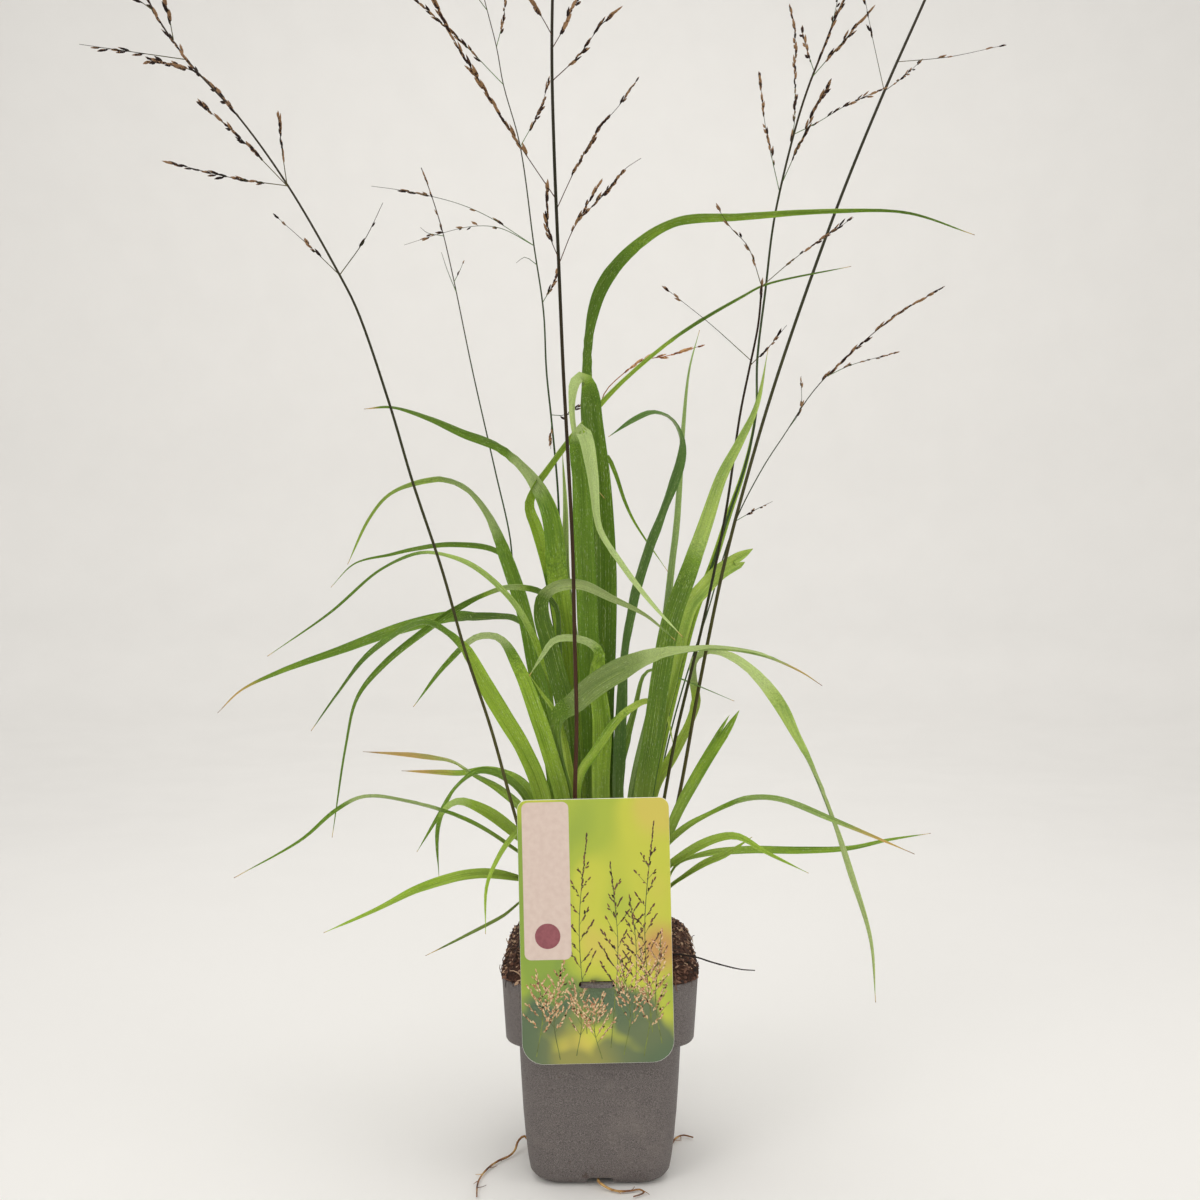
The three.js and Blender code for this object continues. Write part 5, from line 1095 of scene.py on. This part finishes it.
def stem_skin(name, stops):
    """A culm's skin: smooth and waxy, coloured from foot to tip, with fine lengthwise lines under half a
    millimetre apart, drawn a little coarser than real."""
    material, tree, shader = finish_of(name)
    share = add(tree, "Attribute", out="Fac", attribute_name="share")
    place = add(tree, "TexCoord", out="Object")
    drawn = add(tree, "Mapping", Vector=place, Scale=(900, 900, 40))
    lines = add(tree, "TexNoise", Vector=drawn, Scale=1.0, Detail=2.0)
    wander = add(tree, "Math MULTIPLY_ADD", lines, 0.16, share)
    colour = ramp(tree, wander, stops)
    dark = add(tree, "MapRange", lines, 0.45, 0.7, 0.0, 0.35)
    colour = add(tree, "Mix", {0: dark, 6: colour, 7: linear("#241A10")}, out=2, data_type="RGBA")
    relief = add(tree, "Bump", Height=lines, Strength=0.25, Distance=0.0001)
    feed(shader, {"Base Color": colour, "Normal": relief, "Roughness": 0.5, "Specular IOR Level": 0.2})
    return material


def spikelet_skin(name, stops):
    """Dry papery husks: dark at the base of each, lighter and drier towards the point, each its own shade."""
    material, tree, shader = finish_of(name)
    level, tone = [add(tree, "Attribute", out="Fac", attribute_name=name) for name in ("level", "tone")]
    place = add(tree, "TexCoord", out="Object")
    fleck = add(tree, "TexNoise", Vector=place, Scale=1100, Detail=2.0)
    shade = add(tree, "Math MULTIPLY_ADD", level, 0.42, fleck)
    shade = add(tree, "Math MULTIPLY_ADD", tone, 0.5, shade)
    colour = ramp(tree, shade, stops)
    relief = add(tree, "Bump", Height=fleck, Strength=0.4, Distance=0.0002)
    feed(shader, {"Base Color": colour, "Normal": relief, "Roughness": 0.7, "Specular IOR Level": 0.2})
    return material


STEM_SKINS = {
    "culm": stem_skin("old grass culm, waxy dark green", [
        (0.0, "#665E34"), (0.3, "#47461F"), (0.6, "#2B2D17"), (1.0, "#2E2016")]),
    "greenCulm": stem_skin("young grass culm, waxy green", [
        (0.0, "#64853C"), (0.3, "#3F5F2A"), (0.65, "#38492A"), (0.85, "#343422"), (1.0, "#38281C")]),
    "brownCulm": stem_skin("grass culm flushed red-brown", [
        (0.0, "#5A3822"), (0.28, "#45291A"), (0.45, "#33240F"), (0.7, "#232412"), (1.0, "#2A1D13")]),
    "orangeCulm": stem_skin("ripening grass culm, tan", [
        (0.0, "#6B8A45"), (0.55, "#5F7A3C"), (0.75, "#93713F"), (1.0, "#A8643A")]),
}
RIPE_STOPS = [(0.55, "#170C08"), (0.95, "#301A13"), (1.22, "#593B2D"), (1.45, "#8F6F4E")]
PALE_STOPS = [(0.4, "#36201A"), (0.7, "#6B3E2A"), (0.95, "#9E6A42"), (1.2, "#C89C6C")]
SPIKELET_SKINS = {
    "culm": spikelet_skin("grass husks, purple-brown", [
        (0.6, "#120907"), (1.0, "#2A1613"), (1.25, "#523628"), (1.5, "#8C6C4E")]),
    "greenCulm": spikelet_skin("grass husks, ripening brown", RIPE_STOPS),
    "brownCulm": spikelet_skin("grass husks, dark and gold", RIPE_STOPS),
    "orangeCulm": spikelet_skin("grass husks, orange tan", PALE_STOPS),
}
for culm in CULMS:
    kind = culm["colour"]
    x, y = culm["foot"]
    foot = [[x, y, CULM_FOOT["low"], CULM_FOOT["low radius"], 0, NO_SPIKELETS, 0],
            [x, y, CULM_FOOT["high"] + 4, CULM_FOOT["high radius"], 0.03, NO_SPIKELETS, 0]]
    stem = [[x, y, CULM_FOOT["high"]], *culm["stem"]]
    lines = [foot, tube_line(stem, culm["radii"], CULM_STEP, culm["head from"], 1)]
    for branch, rich in zip(culm["branches"], culm["richness"]):
        lines.append(tube_line(branch, BRANCH_RADIUS, BRANCH_STEP, BRANCH_BARE, rich))
    mesh = guide(culm["name"], lines, CULM_COLUMNS)
    stem = grown(culm["name"].replace("culm", "flowering"), mesh, culm_rule, {
        "Seed": culm["seed"], "Stem Skin": STEM_SKINS[kind], "Spikelet Skin": SPIKELET_SKINS[kind]})
    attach(stem, "root")
    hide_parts(culm["name"])
    if "blade" in culm:
        mesh = guide("culm_leaf", blade_lines(culm["foot"], culm["blade"], 0.7), BLADE_COLUMNS)
        leaf = grown(culm["name"].replace("culm", "culm_leaf"), mesh, blade_rule, {"Skin": GREEN_LEAF})
        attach(leaf, "root")


# Label: a printed plastic card, 84 by 146 mm and 0.6 mm thick, with round corners. Its slot is hung over the
# lug on the pot's rim, so it stands up in front of the peat. The print is a generic one: a blurred green
# field, a few plain seed heads, and a pale panel with a plum dot.
CARD = {"width": 83.5, "height": 145.5, "thickness": 0.6, "top": 221, "centre x": -1.7, "tilt": 1.3,
        "back y": -55.73, "slot z": 118.9, "slot width": 20, "slot height": 3.6}
CARD_TOP_CORNER, CARD_LOW_CORNER = 5.5, 12


def arc(x, z, radius, start, steps=8):
    """A quarter round in the card's own plane, in millimetres, from the start angle in quarters of a turn."""
    return [(x + radius * math.cos((start + i / steps) * math.pi / 2),
             z + radius * math.sin((start + i / steps) * math.pi / 2)) for i in range(steps + 1)]


def card_outline(half, low, high, low_radius, high_radius):
    """An upright oblong with round corners in the card's own plane."""
    foot, head = low + low_radius, high - high_radius
    return [*arc(half - low_radius, foot, low_radius, 3), *arc(half - high_radius, head, high_radius, 0),
            *arc(high_radius - half, head, high_radius, 1), *arc(low_radius - half, foot, low_radius, 2)]


def on_card(x, z, out):
    """A point of the card's own plane, in millimetres, in the frame: out is how far in front of the back."""
    turn = math.radians(CARD["tilt"])
    rise = z - CARD["slot z"]
    return Vector((CARD["centre x"] + x * math.cos(turn) - rise * math.sin(turn), CARD["back y"] - out,
                   CARD["slot z"] + x * math.sin(turn) + rise * math.cos(turn))) * MM


def plate(name, outline, back, front, edge):
    """A thin plate on the card with slightly eased edges."""
    centre = Vector((sum(x for x, _ in outline), sum(z for _, z in outline))) / len(outline)
    rings = []
    for out, inset in ((back, edge), (back + edge, 0), (front - edge, 0), (front, edge)):
        ring = []
        for x, z in outline:
            pull = (Vector((x, z)) - centre).normalized() * inset
            ring.append(on_card(x - pull.x, z - pull.y, out))
        rings.append(ring)
    return skinned(name, rings)


low, high = CARD["top"] - CARD["height"], CARD["top"]
card = plate("card", card_outline(CARD["width"] / 2, low, high, CARD_LOW_CORNER, CARD_TOP_CORNER), 0,
             CARD["thickness"], 0.22)
slot_end = CARD["slot height"] / 2
slot_reach = CARD["slot width"] / 2 - slot_end
slot_z = CARD["slot z"]
slot_outline = [*arc(slot_reach, slot_z, slot_end, 3), *arc(slot_reach, slot_z, slot_end, 0),
                *arc(-slot_reach, slot_z, slot_end, 1), *arc(-slot_reach, slot_z, slot_end, 2)]
slot_outline = [point for i, point in enumerate(slot_outline) if math.dist(point, slot_outline[i - 1]) > 1e-6]
cut_or_joined(card, [plate("slot", slot_outline, -2, 3, 0)], "DIFFERENCE")

# Printed card: white polypropylene sheet with a satin print. The picture's blurred field is broad soft noise
# from yellow to green, darker and bluer low down, with one reddish patch; the cut edge stays white.
card_print, tree, shader = finish_of("printed polypropylene card, satin")
place = add(tree, "TexCoord", out="Object")
at = add(tree, "SeparateXYZ", place).node
blur = add(tree, "TexNoise", Vector=place, Scale=24, Detail=0.0)
field = ramp(tree, blur, [(0.34, "#87A23A"), (0.46, "#A7B83C"), (0.57, "#C4C842"), (0.7, "#CFC154")], "EASE")
low_noise = add(tree, "TexNoise", Vector=place, Scale=46, Detail=1.0)
depth = add(tree, "Math MULTIPLY_ADD", low_noise, 0.11, at.outputs[2])
dark_low = add(tree, "MapRange", depth, 0.176, 0.150, 0.0, 0.9, interpolation_type="SMOOTHSTEP")
shadow = ramp(tree, blur, [(0.38, "#3F5A4C"), (0.56, "#56664E"), (0.66, "#8A8A48")])
field = add(tree, "Mix", {0: dark_low, 6: field, 7: shadow}, out=2, data_type="RGBA")
red_at = add(tree, "VectorMath DISTANCE", place, (0.034, -0.056, 0.139), out=1)
red = add(tree, "MapRange", red_at, 0.003, 0.019, 0.7, 0.0, interpolation_type="SMOOTHSTEP")
field = add(tree, "Mix", {0: red, 6: field, 7: linear("#C07A58")}, out=2, data_type="RGBA")
front_y = (CARD["back y"] - CARD["thickness"] + 0.02) * MM
front = add(tree, "Math LESS_THAN", at.outputs[1], front_y)
printed = add(tree, "Mix", {0: front, 6: linear("#F1EFEA"), 7: field}, out=2, data_type="RGBA")
satin = add(tree, "TexNoise", Vector=place, Scale=700, Detail=2.0)
relief = add(tree, "Bump", Height=satin, Strength=0.08, Distance=0.0001)
rough = add(tree, "MapRange", satin, 0.3, 0.7, 0.34, 0.42)
feed(shader, {"Base Color": printed, "Roughness": rough, "Normal": relief})
card.data.materials.clear()
card.data.materials.append(card_print)
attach(card, "root")
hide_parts("label")


def ink(name, light, dark, grain):
    """A film of printing ink with the slight mottle of its dots, under half a millimetre, satin."""
    material, tree, shader = finish_of(name)
    place = add(tree, "TexCoord", out="Object")
    mottle = add(tree, "TexNoise", Vector=place, Scale=grain, Detail=3.0)
    feed(shader, {"Base Color": ramp(tree, mottle, [(0.35, dark), (0.65, light)]), "Roughness": 0.36})
    return material


PRINT_BACK, PRINT_FRONT = 0.5, CARD["thickness"] + 0.03
PANEL = {"centre x": -26.4, "half": 12.9, "low": 133, "high": 219.6, "corner": 3.6}
DOT = {"low": 139, "radius": 7}
outline = card_outline(PANEL["half"], PANEL["low"], PANEL["high"], PANEL["corner"], PANEL["corner"])
panel = plate("label_panel", [(x + PANEL["centre x"], z) for x, z in outline], PRINT_BACK, PRINT_FRONT, 0.01)
panel.data.materials.append(ink("pale pink-beige ink", "#DBC8BD", "#D5C0B5", 300))
round_by = DOT["radius"]
outline = card_outline(round_by, DOT["low"], DOT["low"] + 2 * round_by, round_by, round_by)
dot_front = PRINT_FRONT + 0.03
dot = plate("label_dot", [(x + PANEL["centre x"], z) for x, z in outline], PRINT_BACK, dot_front, 0.005)
dot.data.materials.append(ink("plum ink", "#94525A", "#874850", 420))

# The printed motifs, by the culm's rule pressed flat: tall dark seed heads above, a thicket of low tan ones
# below, and the dashes of a tear line under the slot. A stalk is its foot, middle and tip on the card.
DARK_HEADS = [((-6, 92), (-9, 150), (-4, 199)), ((7, 84), (12, 140), (9, 184)),
              ((30, 92), (27, 150), (33, 206)), ((20, 100), (22, 140), (19, 166))]
TAN_HEADS = [((-34, 80), (-30, 104), (-33, 126)), ((-21, 78), (-24, 100), (-18, 131)),
             ((-12, 80), (-9, 98), (-13, 120)), ((2, 78), (-2, 96), (3, 113)),
             ((14, 80), (18, 102), (13, 133)), ((25, 79), (29, 104), (24, 139)),
             ((35, 86), (32, 108), (36, 146))]
TEAR_LINE = [(9.6, 104, 9.6, 116), (-9.6, 104, -9.6, 116), (-8.4, 102.6, 8.4, 102.6)]
TEAR_DASHES = 6
STALK_RADIUS, TWIG_RADIUS, DASH_RADIUS = 0.24, 0.14, 0.2
TWIG_BARE, PRINT_RICHNESS = 0.15, 2
heads = random.Random(8)


def printed_head(stalk_points, twigs, spread, solid_from):
    """The lines of one printed seed head: its stalk, and its twigs set left and right in turn."""
    lines = [tube_line([[x, 0, z] for x, z in stalk_points], (STALK_RADIUS, STALK_RADIUS), 3, solid_from,
                       PRINT_RICHNESS)]
    for k in range(twigs):
        share = k / twigs
        x, _, z = lines[0][int(len(lines[0]) * (0.28 + 0.6 * share))][:3]
        reach = heads.uniform(0.5, 1) * spread * (1 - 0.75 * share) * (-1) ** k
        rise = heads.uniform(0.8, 1.7) * abs(reach)
        twig = [[x, 0, z], [x + reach * 0.6, 0, z + rise * 0.7], [x + reach, 0, z + rise * 1.2]]
        lines.append(tube_line(twig, (TWIG_RADIUS, TWIG_RADIUS), 2, TWIG_BARE, PRINT_RICHNESS))
    return lines


prints = (("label_heads_dark", DARK_HEADS, 13, 11, 0.72, 4, "umber ink", "#7A4A34", "#241512"),
          ("label_heads_tan", TAN_HEADS, 12, 10, 0.5, 5, "tan ink", "#E8CDA0", "#A9663F"))
motifs = []
for name, stalks, twigs, spread, solid_from, seed, ink_name, light, dark in prints:
    lines = [line for stalk in stalks for line in printed_head(stalk, twigs, spread, solid_from)]
    if name == "label_heads_dark":
        for x0, z0, x1, z1 in TEAR_LINE:
            for k in range(TEAR_DASHES):
                shares = (k / TEAR_DASHES + 0.03, k / TEAR_DASHES + 0.12)
                ends = [(x0 + (x1 - x0) * t, z0 + (z1 - z0) * t) for t in shares]
                lines.append([[x, 0, z, DASH_RADIUS, 0, NO_SPIKELETS, 0] for x, z in ends])
    mesh = guide(name, lines, CULM_COLUMNS)
    motifs.append(grown(name, mesh, culm_rule, {
        "Sides": 4, "Spikelet Spacing mm": 1.2, "Spikelet Length mm": 2.8, "Spikelet Radius": 0.17,
        "Lean": 0.55, "Seed": seed, "Stem Skin": ink("olive ink", "#7C8A34", "#4E5A2C", 260),
        "Spikelet Skin": ink(ink_name, light, dark, 900)}))
PRINT_HALF, PRINT_LOW, PRINT_HIGH = 41, 77, 219
for layer, piece in enumerate(motifs):
    for vertex in piece.data.vertices:
        x, y, z = vertex.co / MM
        x, z = max(-PRINT_HALF, min(PRINT_HALF, x)), max(PRINT_LOW, min(PRINT_HIGH, z))
        vertex.co = on_card(x, z, CARD["thickness"] + 0.008 + 0.01 * layer + 0.01 * max(-1, min(1, y)))
for piece in (panel, dot, *motifs):
    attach(piece, "root")


# Roots: three wiry strands that have grown out of the drain notches and lie on the table; and one dry stalk
# that lies out of the peat over the rim at the right. They are made by the culm's rule with no spikelets.
ROOTS = {
    "root_left": [
        (-36.3, 3, 2.5), (-41.5, 6, 3.2), (-45.5, 8, 7), (-49, 5, 5.5), (-50.8, 0, 2), (-54, -5, 0.9),
        (-59, -10, 0.9), (-64, -18, 0.9), (-68, -30, 0.9), (-69, -40, 0.9), (-68, -53, 0.9)],
    "root_front": [
        (-1, -36.3, 2.5), (-0.5, -41.5, 3.2), (2.8, -43.5, 1.9), (6, -45, 0.9), (11, -47, 0.9),
        (17, -46.5, 0.9), (22, -45, 0.9), (24.5, -48, 0.9), (22, -51, 0.9), (18.5, -53, 0.9)],
    "root_right": [
        (36.3, 3, 2.5), (42, 8, 1.3), (46.5, 19, 0.9), (51, 23, 0.9), (57, 20, 0.9)],
}
DRY_STALK = [(38, -33, 127.5), (44, -35, 129.2), (55, -35.5, 127.6), (64, -35, 124.6), (80, -34, 120.4),
             (88, -34, 119.8)]
root_skin, tree, shader = finish_of("grass root, tan and wiry")
place = add(tree, "TexCoord", out="Object")
patch = add(tree, "TexNoise", Vector=place, Scale=90, Detail=4.0, Roughness=0.6)
colour = ramp(tree, patch, [(0.34, "#4A3024"), (0.48, "#8A5A34"), (0.6, "#C29A5C"), (0.75, "#D8B878")])
relief = add(tree, "Bump", Height=patch, Strength=0.6, Distance=0.0005)
feed(shader, {"Base Color": colour, "Normal": relief, "Roughness": 0.75})
rootlets = random.Random(4)
ROOT_RADII, STALK_RADII, ROOTLET_RADII = (0.75, 0.4), (0.6, 0.3), (0.24, 0.12)
strands = [(name, path, root_skin, "root", ROOT_RADII) for name, path in ROOTS.items()]
for name, path, skin, slot, thick in (*strands, ("dry_stalk", DRY_STALK, peat_bits, "straw", STALK_RADII)):
    main = smooth(path, 2)
    spine = []
    for i, row in enumerate(main):
        thickness = thick[0] + (thick[1] - thick[0]) * i / (len(main) - 1)
        thickness *= 1 + 0.22 * noise.noise(Vector(row[:3]) * 0.35)
        spine.append([*row[:3], thickness, i / (len(main) - 1), NO_SPIKELETS, 0])
    lines = [spine]
    for k in range(8, len(main) - 3, 4):
        x, y, z = main[k][:3]
        if z < 1.2 or name == "dry_stalk":
            away = Vector((rootlets.uniform(-1, 1), rootlets.uniform(-1, 1), 0)).normalized()
            away *= rootlets.uniform(3, 7)
            if name == "dry_stalk":
                away = Vector((1.6, 0, 0.8)) * rootlets.choice((-1, 1)) * 0.6
            twig = [[x, y, z], [x + away.x * 0.6, y + away.y * 0.4, max(0.3, z - 0.2)],
                    [x + away.x, y + away.y, max(0.25, z - 0.3)]]
            lines.append(tube_line(twig, ROOTLET_RADII, 1.5, NO_SPIKELETS, 0))
    mesh = guide(name, lines, CULM_COLUMNS)
    strand = grown(name + "_strand", mesh, culm_rule, {"Stem Skin": skin, "Spikelet Skin": skin})
    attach(strand, "root")
    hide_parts(name)


# Setting: a plain pale table that curves up far behind into a pale wall, lit softly and evenly from above,
# from the front left and from the right, like a product picture taken in a white booth. The table is also
# painted lighter round the pot, fading into the wall's colour: a painted pool of light.
STAGE_LEVELS = [(0.0, -0.0006), (1.9, -0.0006), (2.4, 0.05), (2.75, 0.25), (2.95, 0.7), (3.0, 1.4),
                (3.0, 3.2)]
STAGE_SIDES = 96
stage_mesh = bpy.data.meshes.new("booth")
points, faces = [Vector((0, 0, STAGE_LEVELS[0][1]))], []
for reach, z in STAGE_LEVELS[1:]:
    points += [Vector((reach * math.cos(k / STAGE_SIDES * math.tau),
                       reach * math.sin(k / STAGE_SIDES * math.tau), z))
               for k in range(STAGE_SIDES)]
for k in range(STAGE_SIDES):
    after = (k + 1) % STAGE_SIDES
    faces.append([0, 1 + k, 1 + after])
    for i in range(len(STAGE_LEVELS) - 2):
        low, high = 1 + i * STAGE_SIDES, 1 + (i + 1) * STAGE_SIDES
        faces.append([low + k, high + k, high + after, low + after])
stage_mesh.from_pydata(points, [], faces)
stage_mesh.shade_smooth()
booth = bpy.data.objects.new("booth", stage_mesh)
scene.collection.objects.link(booth)
paint, tree, shader = finish_of("white painted board, matt")
place = add(tree, "TexCoord", out="Object")
mottle = add(tree, "TexNoise", Vector=place, Scale=9, Detail=4.0)
wall = ramp(tree, mottle, [(0.3, "#E5E4E2"), (0.7, "#E7E6E4")])
# Painted light: the board is lightest within 0.3 m of the pot and fades to the wall's colour by 1.3 m, a
# painted pool of light on a paler table.
reach = add(tree, "VectorMath LENGTH", place, out=1)
table = add(tree, "MapRange", reach, 0.3, 1.3, 1.0, 0.0)
board = add(tree, "Mix", {0: table, 6: wall, 7: linear("#F2F1EF")}, out=2, data_type="RGBA")
feed(shader, {"Base Color": board, "Roughness": 0.9, "Specular IOR Level": 0.2})
stage_mesh.materials.append(paint)

world = bpy.data.worlds.new("room")
world.use_nodes = True
world.node_tree.nodes["Background"].inputs[0].default_value = linear("#FCFBF9")
world.node_tree.nodes["Background"].inputs[1].default_value = 0.80
scene.world = world
for name, place, aim, size, power in (
        ("above", (0.0, -0.3, 1.9), (0, 0, 0.3), 1.4, 7),
        ("front_left", (-1.3, -1.5, 1.4), (0, 0, 0.35), 1.1, 9),
        ("front_low", (0.2, -1.7, 0.75), (0, 0, 0.05), 1.5, 4),
        ("right", (1.7, -0.8, 1.0), (0, 0, 0.35), 1.2, 5),
        ("wall", (0.0, 1.25, 1.9), (0, 3, 0.7), 1.6, 12)):
    lamp = bpy.data.lights.new(name, "AREA")
    lamp.shape = "DISK"
    lamp.size = size
    lamp.energy = power
    lamp.color = linear("#FFFCF8")[:3]
    holder = bpy.data.objects.new(name, lamp)
    holder.location = place
    holder.rotation_euler = (Vector(aim) - Vector(place)).to_track_quat("-Z", "Y").to_euler()
    scene.collection.objects.link(holder)
